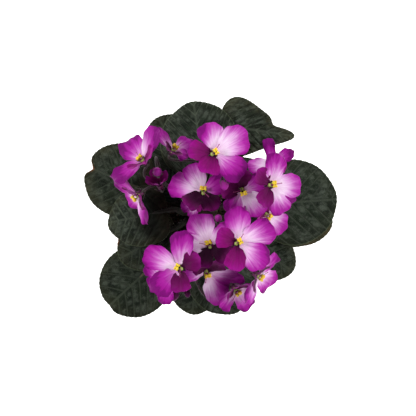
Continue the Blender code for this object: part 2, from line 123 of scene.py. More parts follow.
# name, base of the blade, compass heading and length of its midrib, width, slope of the midrib at base and
# tip, bank (left side up), curl of the margins, taper, depth of a notch in the tip, root on the crown
# (compass direction, height), age
Leaf = namedtuple("Leaf", "name base heading length width rise fall bank curl taper notch root age")
LEAVES = (
    Leaf("leaf_01", (0, 25, 94), 99, 54, 56, 16, -30, 0, -18, 0.10, 0.0, (97, 79.5), 0.1),
    Leaf("leaf_02", (-12, 27, 84), 118, 45, 46, 8, -14, 0, -12, 0.10, 0.0, (126, 74), 0.2),
    Leaf("leaf_03", (5, 61.5, 88.2), -8.5, 58.5, 35, 4, -12, 1, -20, 0.56, 0.0, (55, 79.5), 0.35),
    Leaf("leaf_04", (37, 5, 95), 4, 56, 60, 4, -20, 0, -10, 0.10, 0.0, (12, 79.5), 0.1),
    Leaf("leaf_05", (36, -2, 85), -7, 54, 40, 0, -12, 5, -8, 0.10, 0.0, (-2, 74), 0.8),
    Leaf("leaf_06", (22, -15, 89), -34, 48, 38, 0, -12, 0, -6, 0.10, 0.0, (-42, 74), 0.2),
    Leaf("leaf_07", (6, -24, 93), -75, 50, 50, 8, -24, 0, -14, 0.10, 0.0, (-70, 79.5), 0.1),
    Leaf("leaf_08", (-3, -27, 84), -98, 46, 40, 0, -16, 0, -12, 0.10, 0.0, (-100, 74), 0.2),
    Leaf("leaf_09", (-32, -33, 83), 223, 50, 50, 0, -14, 0, -10, 0.04, 0.06, (224, 74), 0.2),
    Leaf("leaf_10", (-17, -9, 93), 209, 49, 42, 0, -14, 0, -12, 0.10, 0.0, (205, 79.5), 0.2),
    Leaf("leaf_11", (-22, 2, 106), 192, 52, 42, -2, -46, 8, -16, 0.10, 0.0, (183, 84.5), 0.2),
    Leaf("leaf_12", (-38, 13, 86), 157, 50, 52, 2, -14, -8, -12, 0.06, 0.22, (160, 74), 0.3),
    Leaf("leaf_13", (21, -6, 101), -16, 32, 28, 8, -14, 0, 8, 0.10, 0.0, (-20, 84.5), 0.0),
    Leaf("leaf_14", (-14, 12, 90), 140, 24, 24, 4, -8, 0, 8, 0.10, 0.0, (140, 84.5), 0.0),
    Leaf("leaf_15", (15, 14, 98), 42, 30, 28, 6, -14, 0, 6, 0.10, 0.0, (46, 84.5), 0.0),
)

# ---- flowers ----
# the five lobes of a flower: direction round its face, reach and half width as shares of its size
LOBES = ((40, 0.74, 0.32), (110, 0.96, 0.38), (180, 1.04, 0.39), (250, 0.96, 0.38), (320, 0.74, 0.32))
UPPER_LOBES = (0, 4)
LOBE_LEVELS = (3.0, 1.4, 0.0, 2.0, 4.0)  # which lobe lies over which, from the lowest
LEVEL_STEP = 0.22
LOBE_ANGLES = 56
LOBE_RINGS = 12
LOBE_FULLNESS = 1.3
LOBE_CORE = 0.6  # where the middle of a lobe lies, as a share of its length
PETAL_THICK = 0.32
PETAL_BED = 0.45  # how far the lobes lie below the mouth of the tube
THROAT_SHARE = 0.12
THROAT_DEPTH = 2.0
TUBE_RADIUS = 2.3
TUBE_LENGTH = 4.5
LOBE_RISE_POWER = 1.6
LOBE_LIFT_SPREAD = 0.09
STAMEN_HEIGHT = 4.2
STAMEN_SHIFT = 1.2
ANTHER_SPREAD = 1.2
CELL_SPREAD = 0.72
FILAMENT_RADIUS = 0.38
STYLE_RADIUS = 0.24
STYLE_REACH = 6.2
STYLE_RISE = 2.6
PEDICEL_RADIUS = 0.85
PEDUNCLE_RADIUS = 1.4
CALYX_LENGTH = 3.0
FORK_RADIUS = 1.9
BRACT_LENGTH = 6.5

# how much darker than usual the two upper lobes of a flower are
DEEP_HEARTS = {"flower_02": 0.8, "flower_04": 1.0, "flower_05": 0.6, "flower_06": 0.4, "flower_10": 1.0,
               "flower_11": 0.5, "flower_12": 0.8, "flower_13": 0.6, "flower_14": 0.9, "flower_15": 0.5}
DARK_FLOWERS = ("flower_18",)
DARK_BUDS = ("bud_04", "bud_05")
# lobe by lobe: how strongly it is coloured (0 pale, 1 full) and how much more so toward its clockwise side
LOBE_TINTS = {
    "flower_01": {1: (1.1, 0.0), 2: (0.8, -0.15), 3: (0.9, 0.6)},
    "flower_02": {1: (0.6, 0.0), 2: (0.6, 0.1), 3: (0.7, 0.0)},
    "flower_03": {1: (0.3, -0.5), 2: (0.1, 0.1), 3: (0.8, 0.15)},
    "flower_04": {1: (0.2, -0.1), 2: (0.1, 0.0), 3: (1.2, 0.0)},
    "flower_05": {1: (0.8, 0.0), 2: (0.0, 0.0), 3: (0.8, 0.2)},
    "flower_06": {1: (0.5, -0.2), 2: (0.0, -0.1), 3: (0.25, 0.25)},
    "flower_07": {1: (0.0, 0.0), 2: (1.1, 0.0), 3: (0.9, 0.2)},
    "flower_08": {1: (0.8, 0.0), 2: (0.1, 0.0), 3: (0.8, 0.0)},
    "flower_09": {1: (0.45, -0.15), 2: (0.3, -0.1), 3: (0.4, -0.2)},
    "flower_10": {1: (0.2, 0.0), 2: (0.15, -0.1), 3: (0.3, 0.0)},
    "flower_11": {1: (0.95, 0.1), 2: (0.4, 0.0), 3: (0.65, -0.2)},
    "flower_12": {1: (0.6, 0.3), 2: (0.3, -0.35), 3: (0.5, 0.0)},
    "flower_13": {1: (0.0, 0.0), 2: (0.45, 0.0), 3: (0.5, 0.0)},
    "flower_14": {1: (0.5, 0.3), 2: (0.35, 0.2), 3: (0.3, 0.3)},
    "flower_15": {1: (0.8, -0.6), 2: (0.2, 0.0), 3: (1.1, 0.1)},
}
# how the lobes of one flower differ from LOBES: turn in degrees, share of the reach and of the width, lift
PLAIN_LOBES = ((0, 0.85, 0.75, 0), (0, 0.92, 0.85, 0), (0, 0.95, 0.9, 0),
               (0, 0.92, 0.85, 0), (0, 0.85, 0.75, 0))
LOBE_CHANGES = {
    "flower_01": ((0, 0.7, 0.8, 0.22), (-8, 1.08, 0.76, 0), (4, 0.94, 0.9, 0),
                  (6, 1.06, 0.74, 0.15), (0, 0.72, 0.8, 0.22)),
    "flower_02": ((0, 0.7, 0.7, 0.2), (-14, 1.16, 0.75, 0.05), (22, 1.05, 0.9, 0),
                  (10, 0.72, 0.7, 0), (4, 0.75, 0.75, 0.2)),
    "flower_03": ((-3, 0.95, 0.72, 0), (4, 0.86, 0.8, 0), (0, 1.0, 0.92, 0),
                  (-2, 1.04, 0.86, -0.03), (2, 0.8, 0.84, 0)),
    "flower_04": ((0, 0.95, 0.76, 0), (-8, 1.03, 0.92, 0), (-30, 0.86, 0.7, 0.02),
                  (-10, 0.9, 0.8, 0), (6, 0.9, 0.76, 0)),
    "flower_05": ((-28, 0.95, 0.85, 0), (-28, 0.9, 0.85, 0), (-28, 0.95, 0.95, 0),
                  (-28, 0.9, 0.8, 0), (-28, 0.95, 0.8, 0)),
    "flower_06": ((4, 0.78, 0.72, 0), (-2, 0.93, 0.74, 0), (6, 0.9, 0.78, 0),
                  (4, 0.92, 0.78, 0), (-14, 0.92, 0.7, 0)),
    "flower_07": ((0, 0.8, 0.7, 0), (-14, 1.08, 0.8, 0), (2, 1.0, 0.55, 0.1),
                  (2, 1.0, 0.62, 0), (0, 0.8, 0.7, 0)),
    "flower_08": ((0, 0.8, 0.6, 0), (-6, 1.2, 0.8, 0), (2, 0.95, 0.95, 0),
                  (0, 0.7, 0.7, 0), (10, 0.7, 0.45, 0.1)),
    "flower_09": ((6, 0.82, 0.74, 0), (8, 0.96, 0.76, 0), (6, 0.98, 0.78, 0),
                  (-2, 0.97, 0.84, 0), (-11, 1.0, 0.76, 0)),
    "flower_10": ((0, 0.92, 0.8, 0), (0, 0.9, 0.8, 0), (-6, 0.94, 0.92, 0),
                  (0, 0.85, 0.7, 0), (0, 0.92, 0.8, 0)),
    "flower_11": ((18, 0.84, 0.7, 0.04), (0, 0.93, 0.74, 0), (-4, 0.93, 0.7, 0),
                  (0, 0.95, 0.7, 0), (-13, 0.8, 0.72, 0.04)),
    "flower_12": ((0, 0.7, 0.7, 0.2), (6, 1.12, 0.55, 0.1), (-18, 0.95, 0.72, 0),
                  (27, 0.7, 0.55, 0), (10, 0.6, 0.7, 0.2)),
    "flower_13": ((0, 0.72, 0.75, 0.25), (0, 0.66, 0.7, 0.1), (0, 1.0, 0.85, 0),
                  (15, 0.95, 0.85, 0), (0, 0.72, 0.75, 0.25)),
    "flower_14": ((0, 0.75, 0.8, 0.25), (-10, 0.96, 0.65, 0), (0, 0.9, 0.95, 0),
                  (16, 1.0, 0.66, 0), (0, 0.75, 0.8, 0.25)),
    "flower_15": ((0, 0.75, 0.8, 0.2), (0, 1.0, 0.58, 0.1), (0, 0.6, 0.8, 0),
                  (2, 1.12, 0.95, 0), (0, 0.75, 0.8, 0.2)),
    "flower_16": ((0, 0.8, 0.75, 0), (0, 1.0, 0.75, 0), (0, 0.7, 0.75, 0),
                  (-6, 0.94, 0.75, 0), (0, 0.8, 0.75, 0)),
}

# name, throat, compass direction that the face leans to, lean from straight up, turn about the face, size,
# rise of the lobes, sideways bow of the pedicel, whether its stamens show, compass direction of its style
Flower = namedtuple("Flower", "name at lean tilt turn size cup bow open style")
FLOWERS = (
    Flower("flower_01", (-42, 35, 137), 136, 42, 0, 23.0, 0.14, (-11, -1, 0), True, 130),
    Flower("flower_02", (-21, 42, 131), 52, 40, 0, 16.0, 0.16, (0, 0, 0), True, 45),
    Flower("flower_03", (6, 39, 152), 31, 14, 0, 25.5, 0.05, (4, 0, 0), True, 60),
    Flower("flower_04", (-1, 14, 132), 85, 24, 0, 24.0, 0.06, (0, 0, 0), True, -60),
    Flower("flower_05", (25, 14, 140), -62, 14, -12, 21.0, 0.06, (0, 0, 0), True, 180),
    Flower("flower_06", (44, 18, 154), 6, 24, 0, 24.0, 0.07, (15, 8, 0), True, 10),
    Flower("flower_07", (46, 33, 129), 105, 20, 0, 17.0, 0.08, (0, 0, 0), False, 0),
    Flower("flower_08", (42, -2, 121), -38, 44, 0, 21.0, 0.10, (0, 0, 0), True, 170),
    Flower("flower_09", (22, -20, 152), 29, 10, 0, 26.0, 0.05, (3, -3, 0), True, 60),
    Flower("flower_10", (3, -22, 134), 108, 20, 0, 24.5, 0.06, (0, 0, 0), True, 175),
    Flower("flower_11", (-17, -37, 143), 153, 14, 0, 27.0, 0.07, (-5, -1, 0), True, -80),
    Flower("flower_12", (1, -41, 125), -55, 28, -25, 25.5, 0.08, (0, 0, 0), True, -95),
    Flower("flower_13", (21, -53, 128), -52, 42, 0, 17.5, 0.16, (2, -28, -20), True, -110),
    Flower("flower_14", (36, -43, 133), -32, 54, 0, 21.5, 0.10, (0, 0, 0), True, 15),
    Flower("flower_15", (-46, 11, 126), 217, 62, 0, 21.5, 0.12, (0, 0, 0), True, 150),
    Flower("flower_16", (-28, -46, 116), 205, 18, 0, 18.0, 0.04, (0, 0, 0), False, 0),
    Flower("flower_17", (-7, 5, 114), 190, 20, 0, 10.5, 0.10, (0, 0, 0), False, 0),
    Flower("flower_18", (-31, 19, 121), 110, 40, 0, 9.5, 0.75, (0, 0, 0), False, 0),
)

# name, middle, compass direction that its point leans to, lean from straight up, length, bow of its pedicel
Bud = namedtuple("Bud", "name at lean tilt size bow")
BUDS = (
    Bud("bud_01", (-32, 27, 134), 100, 20, 8.5, (-4, 21, 0)),
    Bud("bud_02", (13, 18, 149), -90, 60, 8.0, (-2, 4, 2)),
    Bud("bud_03", (9, -4, 143), 60, 20, 7.0, (-3, 12, 0)),
    Bud("bud_04", (-21, -57, 111), -110, 60, 9.0, (0, 0, 0)),
    Bud("bud_05", (-12, -56, 110), -80, 50, 6.0, (0, 0, 0)),
)
# (height along a bud from its middle, radius), as shares of its length
BUD_PROFILE = ((-0.46, 0.13), (-0.38, 0.24), (-0.22, 0.32), (-0.05, 0.36), (0.12, 0.33), (0.28, 0.26),
               (0.4, 0.17), (0.47, 0.09))

# name, foot on the crown (compass direction, distance from its middle), fork, what the pedicels carry
Stalk = namedtuple("Stalk", "name foot fork carries")
STALKS = (
    Stalk("stalk_left", (150, 4.5), (-29, 20, 108), "flower_01 flower_15 flower_18 bud_01"),
    Stalk("stalk_back", (85, 4.5), (8, 36, 108), "flower_02 flower_03 flower_04 flower_17 bud_02"),
    Stalk("stalk_right", (20, 4.5), (30, 12, 109), "flower_05 flower_06 flower_07 flower_08"),
    Stalk("stalk_middle", (-45, 4.5), (19, -20, 108), "flower_09 flower_10 flower_14 bud_03"),
    Stalk("stalk_front", (-110, 4.5), (-8, -36, 105),
          "flower_11 flower_12 flower_13 flower_16 bud_04 bud_05"),
)


# ---- directions, curves and shapes that several pieces share ----


def compass(degrees, elevation=0.0):
    """Unit vector at that compass direction (anticlockwise from +X) and elevation."""
    a, e = math.radians(degrees), math.radians(elevation)
    return np.array((math.cos(a) * math.cos(e), math.sin(a) * math.cos(e), math.sin(e)))


def unit(vector):
    return vector / np.linalg.norm(vector)


def bezier(a, b, c, d, steps):
    t = np.linspace(0, 1, steps + 1)[:, None]
    s = 1 - t
    return list(a * s**3 + b * (3 * s * s * t) + c * (3 * s * t * t) + d * t**3)


def bump(value, middle, half):
    """A smooth hump of height 1 at the middle."""
    return np.exp(-(((value - middle) / half) ** 2))


def smooth(value, low, high):
    """Rises smoothly from 0 at low to 1 at high."""
    t = np.clip((value - low) / (high - low), 0, 1)
    return t * t * (3 - 2 * t)


def ripple(x, y, seed):
    """A gentle irregular wave from -1 to 1, different for each seed."""
    luck = random.Random(seed)
    total = 0.0
    for stretch in (1.0, 1.7, 2.6):
        a, phase = luck.uniform(0, FULL_TURN), luck.uniform(0, FULL_TURN)
        total = total + np.sin((x * math.cos(a) + y * math.sin(a)) * stretch + phase) / (1 + stretch)
    return total


def round_angles(count):
    return np.arange(count) * FULL_TURN / count


def spokes(count, right, upper):
    """Vectors from a middle to a ring of points, in the plane of those two axes."""
    turn = round_angles(count)
    return np.outer(np.cos(turn), right) + np.outer(np.sin(turn), upper)


def level_ring(radius, height, count):
    """A ring of points round the vertical axis; its radius and height may change from point to point."""
    turn = round_angles(count)
    return np.stack([radius * np.cos(turn), radius * np.sin(turn), np.broadcast_to(height, count)], axis=1)


def outward(middle, offset, shares):
    """The middle of a sheet, then the rings of its points on the way to the margin."""
    return np.concatenate([[middle], *[middle + offset * share for share in shares]])


class Shape:
    """Points, faces and per-point values of one piece, gathered before its mesh is made."""

    def __init__(self):
        self.points = []
        self.faces = []
        self.finishes = []
        self.values = {}
        self.count = 0

    def add(self, points, faces, finish=0, **values):
        points = np.asarray(points, float).reshape(-1, 3)
        for name in {**self.values, **values}:
            column = self.values.setdefault(name, [np.zeros(self.count)])
            column.append(np.broadcast_to(np.asarray(values.get(name, 0.0), float), (len(points),)))
        self.points.append(points)
        self.faces += [[i + self.count for i in face] for face in faces]
        self.finishes += [finish] * len(faces)
        self.count += len(points)


def make_mesh(name, shape, materials):
    mesh = bpy.data.meshes.new(name)
    mesh.from_pydata((np.concatenate(shape.points) * MM).tolist(), [], shape.faces)
    mesh.polygons.foreach_set("material_index", shape.finishes)
    for value, columns in shape.values.items():
        attribute = mesh.attributes.new(value, "FLOAT", "POINT")
        attribute.data.foreach_set("value", np.concatenate(columns).astype(np.float32))
    for material in materials:
        mesh.materials.append(material)
    bm = bmesh.new()
    bm.from_mesh(mesh)
    bmesh.ops.recalc_face_normals(bm, faces=bm.faces)
    bm.to_mesh(mesh)
    bm.free()
    mesh.shade_smooth()
    return mesh


def place(name, data):
    """A new object in the scene."""
    placed = bpy.data.objects.new(name, data)
    bpy.context.scene.collection.objects.link(placed)
    return placed


def finished_mesh(obj, name):
    """A plain mesh of the object with its modifiers applied; the object itself is removed."""
    graph = bpy.context.evaluated_depsgraph_get()
    mesh = bpy.data.meshes.new_from_object(obj.evaluated_get(graph), depsgraph=graph)
    bpy.data.objects.remove(obj)
    mesh.name = name
    return mesh


def settle(name, mesh, slot, *nodes):
    """Puts a finished mesh in the scene as a piece that stands for those nodes of the frame."""
    piece = place(name, mesh)
    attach(piece, "root")
    if nodes:
        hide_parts(*nodes)


def ring_faces(rings, count, start=0):
    """Quads between rings of points that follow one another."""
    faces = []
    for r in range(rings - 1):
        for i in range(count):
            j = (i + 1) % count
            near, far = start + r * count, start + (r + 1) * count
            faces.append((near + i, near + j, far + j, far + i))
    return faces


def fan_faces(pole, ring, count):
    return [(pole, ring + i, ring + (i + 1) % count) for i in range(count)]


def sheet_faces(rings, count):
    """Faces of a closed sheet: a middle point and its rings above, then the same again below."""
    half = 1 + rings * count
    top = fan_faces(0, 1, count) + ring_faces(rings, count, 1)
    under = fan_faces(half, half + 1, count) + ring_faces(rings, count, half + 1)
    rim_top, rim_under = 1 + (rings - 1) * count, half + 1 + (rings - 1) * count
    rim = []
    for i in range(count):
        j = (i + 1) % count
        rim.append((rim_top + i, rim_under + i, rim_under + j, rim_top + j))
    return top + under + rim


def add_sheet(shape, top, under, rings, sided, **values):
    """A closed sheet of those upper and lower points; a sided value is the same above and below."""
    for name, value in sided.items():
        values[name] = np.concatenate([value, value])
    faces = sheet_faces(rings, (len(top) - 1) // rings)
    shape.add(np.concatenate([top, under]), faces, under=np.repeat((0.0, 1.0), len(top)), **values)


def add_rings(shape, rings, finish=0, **values):
    """A closed shape of equal rings of points with a pole at each end."""
    count = len(rings[0])
    points = np.concatenate([[np.mean(rings[0], axis=0)], *rings, [np.mean(rings[-1], axis=0)]])
    last = 1 + len(rings) * count
    faces = fan_faces(0, 1, count) + ring_faces(len(rings), count, 1)
    faces += fan_faces(last, last - count, count)
    spread = {}
    for name, value in values.items():
        value = np.asarray(value, float)
        if value.ndim:
            value = np.concatenate([[value[0]], np.repeat(value, count), [value[-1]]])
        spread[name] = value
    shape.add(points, faces, finish, **spread)


def tube_rings(path, radii, sides):
    """Rings of points round a path, without twist."""
    path = [np.asarray(p, float) for p in path]
    side = None
    rings = []
    for i, point in enumerate(path):
        along = unit(path[min(i + 1, len(path) - 1)] - path[max(i - 1, 0)])
        if side is None:
            side = np.cross(along, (0.3, 0.2, 1.0) if abs(along[2]) < 0.9 else (1.0, 0.0, 0.0))
        side = unit(side - along * np.dot(side, along))
        rings.append(point + spokes(sides, side, np.cross(along, side)) * radii[i])
    return rings


def add_tube(shape, path, radii, sides, finish=0, **values):
    add_rings(shape, tube_rings(path, radii, sides), finish, **values)


def add_turned(shape, middle, axes, profile, sides, finish=0):
    """A closed shape turned about the third axis from (radius, height) points."""
    right, upper, face = axes
    out = spokes(sides, right, upper)
    rings = [np.asarray(middle, float) + out * radius + face * height for radius, height in profile]
    add_rings(shape, rings, finish)


def add_egg(shape, middle, axes, sides, steps, finish=0, **values):
    """A closed ellipsoid with those half axes."""
    right, upper, face = axes
    out = spokes(sides, right, upper)
    angles = [math.pi * i / steps for i in range(1, steps)]
    rings = [np.asarray(middle, float) + out * math.sin(a) - np.asarray(face) * math.cos(a) for a in angles]
    add_rings(shape, rings, finish, **values)


def add_ribbon(shape, spine, side, widths, thick, hollow=0.0, finish=0, **values):
    """A closed strap along a spine, that wide to each side; hollow lifts its margins."""
    rings = []
    across = np.array((-1, -0.5, 0, 0.5, 1, 0.5, 0, -0.5))
    level = np.array((0, 1, 1, 1, 0, -1, -1, -1)) * thick / 2
    for i, point in enumerate(spine):
        along = unit(spine[min(i + 1, len(spine) - 1)] - spine[max(i - 1, 0)])
        normal = unit(np.cross(along, side))
        ring = point + np.outer(across * widths[i], side)
        rings.append(ring + np.outer(level + hollow * across**2 * widths[i], normal))
    add_rings(shape, rings, finish, **values)


# ---- wiring of materials ----


class Wiring:
    """Short calls for laying out one shader tree."""

    def __init__(self, tree):
        self.nodes = tree.nodes
        self.links = tree.links

    def feed(self, socket, value):
        if isinstance(value, bpy.types.NodeSocket):
            self.links.new(value, socket)
        else:
            socket.default_value = value

    def node(self, kind, feeds, **settings):
        node = self.nodes.new(kind)
        for name, value in settings.items():
            setattr(node, name, value)
        for key, value in feeds.items():
            self.feed(node.inputs[key], value)
        return node

    def sum(self, operation, *values):
        return self.node("ShaderNodeMath", dict(enumerate(values)), operation=operation).outputs[0]

    def plus(self, *values):
        return self.sum("ADD", *values)

    def minus(self, *values):
        return self.sum("SUBTRACT", *values)

    def times(self, *values):
        return self.sum("MULTIPLY", *values)

    def value(self, name):
        return self.node("ShaderNodeAttribute", {}, attribute_name=name).outputs["Fac"]

    def place(self):
        return self.node("ShaderNodeTexCoord", {}).outputs["Object"]

    def vector(self, x, y, z):
        return self.node("ShaderNodeCombineXYZ", {0: x, 1: y, 2: z}).outputs[0]

    def noise(self, vector, scale, detail=2.0, roughness=0.5):
        feeds = {"Vector": vector, "Scale": scale, "Detail": detail, "Roughness": roughness}
        return self.node("ShaderNodeTexNoise", feeds).outputs["Fac"]

    def cells(self, vector, scale):
        return self.node("ShaderNodeTexVoronoi", {"Vector": vector, "Scale": scale}).outputs["Distance"]

    def fade(self, value, low, high, start=0.0, end=1.0):
        feeds = {"Value": value, "From Min": low, "From Max": high, "To Min": start, "To Max": end}
        return self.node("ShaderNodeMapRange", feeds, interpolation_type="SMOOTHSTEP").outputs[0]

    def mix(self, share, first, second, blend="MIX"):
        feeds = {0: share, 6: colour(first), 7: colour(second)}
        return self.node("ShaderNodeMix", feeds, data_type="RGBA", blend_type=blend).outputs[2]

    def ramp(self, value, *stops):
        node = self.node("ShaderNodeValToRGB", {0: value})
        elements = node.color_ramp.elements
        while len(elements) < len(stops):
            elements.new(1.0)
        for element, (position, tint) in zip(elements, stops):
            element.position = position
            element.color = (*tint, 1.0)
        return node.outputs[0]

    def bumpy(self, height, strength, distance, normal=None):
        feeds = {"Height": height, "Strength": strength, "Distance": distance}
        if normal is not None:
            feeds["Normal"] = normal
        return self.node("ShaderNodeBump", feeds).outputs[0]

    def arrows(self, operation, *values):
        return self.node("ShaderNodeVectorMath", dict(enumerate(values)), operation=operation).outputs

    def group(self, tree, **feeds):
        node = self.node("ShaderNodeGroup", {}, node_tree=tree)
        for name, value in feeds.items():
            self.feed(node.inputs[name.replace("_", " ")], value)
        return node.outputs


def colour(value):
    return value if isinstance(value, bpy.types.NodeSocket) else (*value, 1.0)


def new_material(name, settings):
    """A material, its wiring and its shader, with the uniform values set on the shader itself."""
    material = bpy.data.materials.new(name)
    material.use_nodes = True
    shader = material.node_tree.nodes["Principled BSDF"]
    for key, value in settings.items():
        shader.inputs[key].default_value = value
    return material, Wiring(material.node_tree), shader.inputs


def new_group(name, inputs, outputs):
    """A shader group with those inputs and outputs, its wiring, and the sockets at its two ends."""
    tree = bpy.data.node_groups.new(name, "ShaderNodeTree")
    for label, value in inputs.items():
        socket = tree.interface.new_socket(label, in_out="INPUT", socket_type="NodeSocketFloat")
        socket.default_value = value
    for label in outputs:
        tree.interface.new_socket(label, in_out="OUTPUT", socket_type="NodeSocketFloat")
    wiring = Wiring(tree)
    given, out = wiring.node("NodeGroupInput", {}).outputs, wiring.node("NodeGroupOutput", {}).inputs
    return tree, wiring, given, out


def make_mottle():
    """Blotches and fine flecks over a living or moulded surface."""
    scales = {"Blotch Scale": 60.0, "Fleck Scale": 900.0}
    tree, w, given, out = new_group("mottle", scales, ("Blotch", "Fleck"))
    w.feed(out["Blotch"], w.fade(w.noise(w.place(), given["Blotch Scale"], 4.0, 0.6), 0.3, 0.7))
    w.feed(out["Fleck"], w.fade(w.noise(w.place(), given["Fleck Scale"], 2.0, 0.5), 0.35, 0.65))
    return tree


def make_pile():
    """The close pile of a velvety surface: a height made of packed round cells."""
    tree, w, given, out = new_group("pile", {"Cell Scale": 1500.0, "Softness": 0.5}, ("Height",))
    cells = w.minus(1.0, w.cells(w.place(), given["Cell Scale"]))
    soft = w.noise(w.place(), given["Cell Scale"], 1.0, 0.5)
    w.feed(out["Height"], w.plus(cells, w.times(soft, given["Softness"])))
    return tree


def make_heart():
    """A mask of the plant's heart, where painted shade darkens the leaves and their stalks."""
    radii = {"Inner Radius": HEART_INNER * MM, "Outer Radius": HEART_OUTER * MM}
    tree, w, given, out = new_group("heart", radii, ("Mask",))
    away = w.arrows("SUBTRACT", w.place(), (HEART[0] * MM, HEART[1] * MM, 0.0))[0]
    flat = w.arrows("MULTIPLY", away, (1.0, HEART_SQUEEZE, 0.0))[0]
    far = w.arrows("LENGTH", flat)["Value"]
    w.feed(out["Mask"], w.fade(far, given["Inner Radius"], given["Outer Radius"], HEART_SHADE, 0.0))
    return tree


MOTTLE = make_mottle()
PILE = make_pile()
SHADE = make_heart()
LIVING = {"Subsurface Weight": 0.05, "Subsurface Scale": 0.001}


def mottled(w, blotch, fleck):
    return w.group(MOTTLE, Blotch_Scale=blotch, Fleck_Scale=fleck)


def roughen(w, shader, least, pattern, spread=0.2):
    w.feed(shader["Roughness"], w.plus(least, w.times(pattern, spread)))


def velvet(w, shader, cell, strength, height=0.0002, softness=0.5):
    pile = w.group(PILE, Cell_Scale=cell, Softness=softness)["Height"]
    w.feed(shader["Normal"], w.bumpy(pile, strength, height))


def leaf_blade_material():
    settings = {"Sheen Weight": 0.1, "Sheen Roughness": 0.3, "Sheen Tint": (0.6, 0.7, 0.6, 1),
                "Specular IOR Level": 0.05}
    material, w, shader = new_material("leaf_blade", settings)
    mottle = mottled(w, 90.0, 1400.0)
    # the veins: drawn lighter as a painted highlight on the upper side, and as their own paler colour on
    # the under side
    row = w.value("row")
    off = w.sum("ABSOLUTE", w.minus(row, w.sum("ROUND", row)))
    lateral = w.fade(off, 0.03, 0.16, 1.0, 0.0)
    midrib = w.fade(w.sum("ABSOLUTE", w.value("left")), 0.3, 1.3, 1.0, 0.0)
    veins = w.sum("MAXIMUM", w.times(lateral, w.value("ribs")), w.times(midrib, 0.6))
    under = w.value("under")
    green = w.mix(mottle["Blotch"], (0.002, 0.004, 0.003), (0.009, 0.016, 0.009))
    # painted highlight: the raised puffs of the quilting drawn lighter, in patches
    patch = w.fade(w.noise(w.place(), 170.0, 3.0, 0.6), 0.35, 0.7)
    raised = w.times(w.value("puff"), w.fade(patch, 0.0, 1.0, 0.05, 1.0))
    green = w.mix(raised, green, (0.062, 0.076, 0.058))
    green = w.mix(w.times(mottle["Fleck"], 0.35), green, (0.020, 0.028, 0.018))
    # painted highlight along the veins of the upper side
    green = w.mix(w.times(veins, 0.6), green, (0.095, 0.115, 0.084))
    # painted sheen: a lighter rim along the margin, where the velvet catches light at a grazing angle
    margin = w.fade(w.value("share"), 0.97, 1.0)
    green = w.mix(w.times(margin, 0.6), green, (0.09, 0.115, 0.065))
    # painted shade: the blades turn near-black towards the plant's heart, standing in for the shadow there
    green = w.mix(w.group(SHADE)["Mask"], green, (0.001, 0.0015, 0.001))
    age = w.times(w.value("age"), w.fade(w.value("share"), 0.5, 1.0, 0.2, 1.0))
    worn = w.times(age, w.fade(mottle["Blotch"], 0.0, 1.0, 0.4, 1.0))
    green = w.mix(worn, green, (0.075, 0.062, 0.03))
    scorch = w.times(w.value("scorch"), w.fade(mottle["Fleck"], 0.2, 0.8, 0.5, 1.0))
    green = w.mix(scorch, green, (0.22, 0.07, 0.025))
    back = w.mix(veins, (0.10, 0.15, 0.08), (0.20, 0.22, 0.13))
    back = w.mix(w.times(mottle["Blotch"], 0.5), back, (0.13, 0.10, 0.08))
    w.feed(shader["Base Color"], w.mix(under, green, back))
    roughen(w, shader, 0.55, mottle["Fleck"])
    velvet(w, shader, 1300.0, 0.35, 0.0003, 0.6)
    return material


def petiole_material():
    settings = {**LIVING, "Sheen Weight": 0.06, "Sheen Roughness": 0.5, "Specular IOR Level": 0.2}
    material, w, shader = new_material("leaf_petiole", settings)
    mottle = mottled(w, 160.0, 1800.0)
    green = w.mix(mottle["Blotch"], (0.055, 0.085, 0.035), (0.12, 0.10, 0.055))
    green = w.mix(w.times(mottle["Fleck"], 0.4), green, (0.17, 0.10, 0.08))
    # painted shade: the petioles turn near-black towards the plant's heart
    shade = w.group(SHADE, Outer_Radius=PETIOLE_SHADE * MM)["Mask"]
    w.feed(shader["Base Color"], w.mix(shade, green, (0.003, 0.003, 0.002)))
    roughen(w, shader, 0.5, mottle["Fleck"])
    velvet(w, shader, 1800.0, 0.3)
    return material


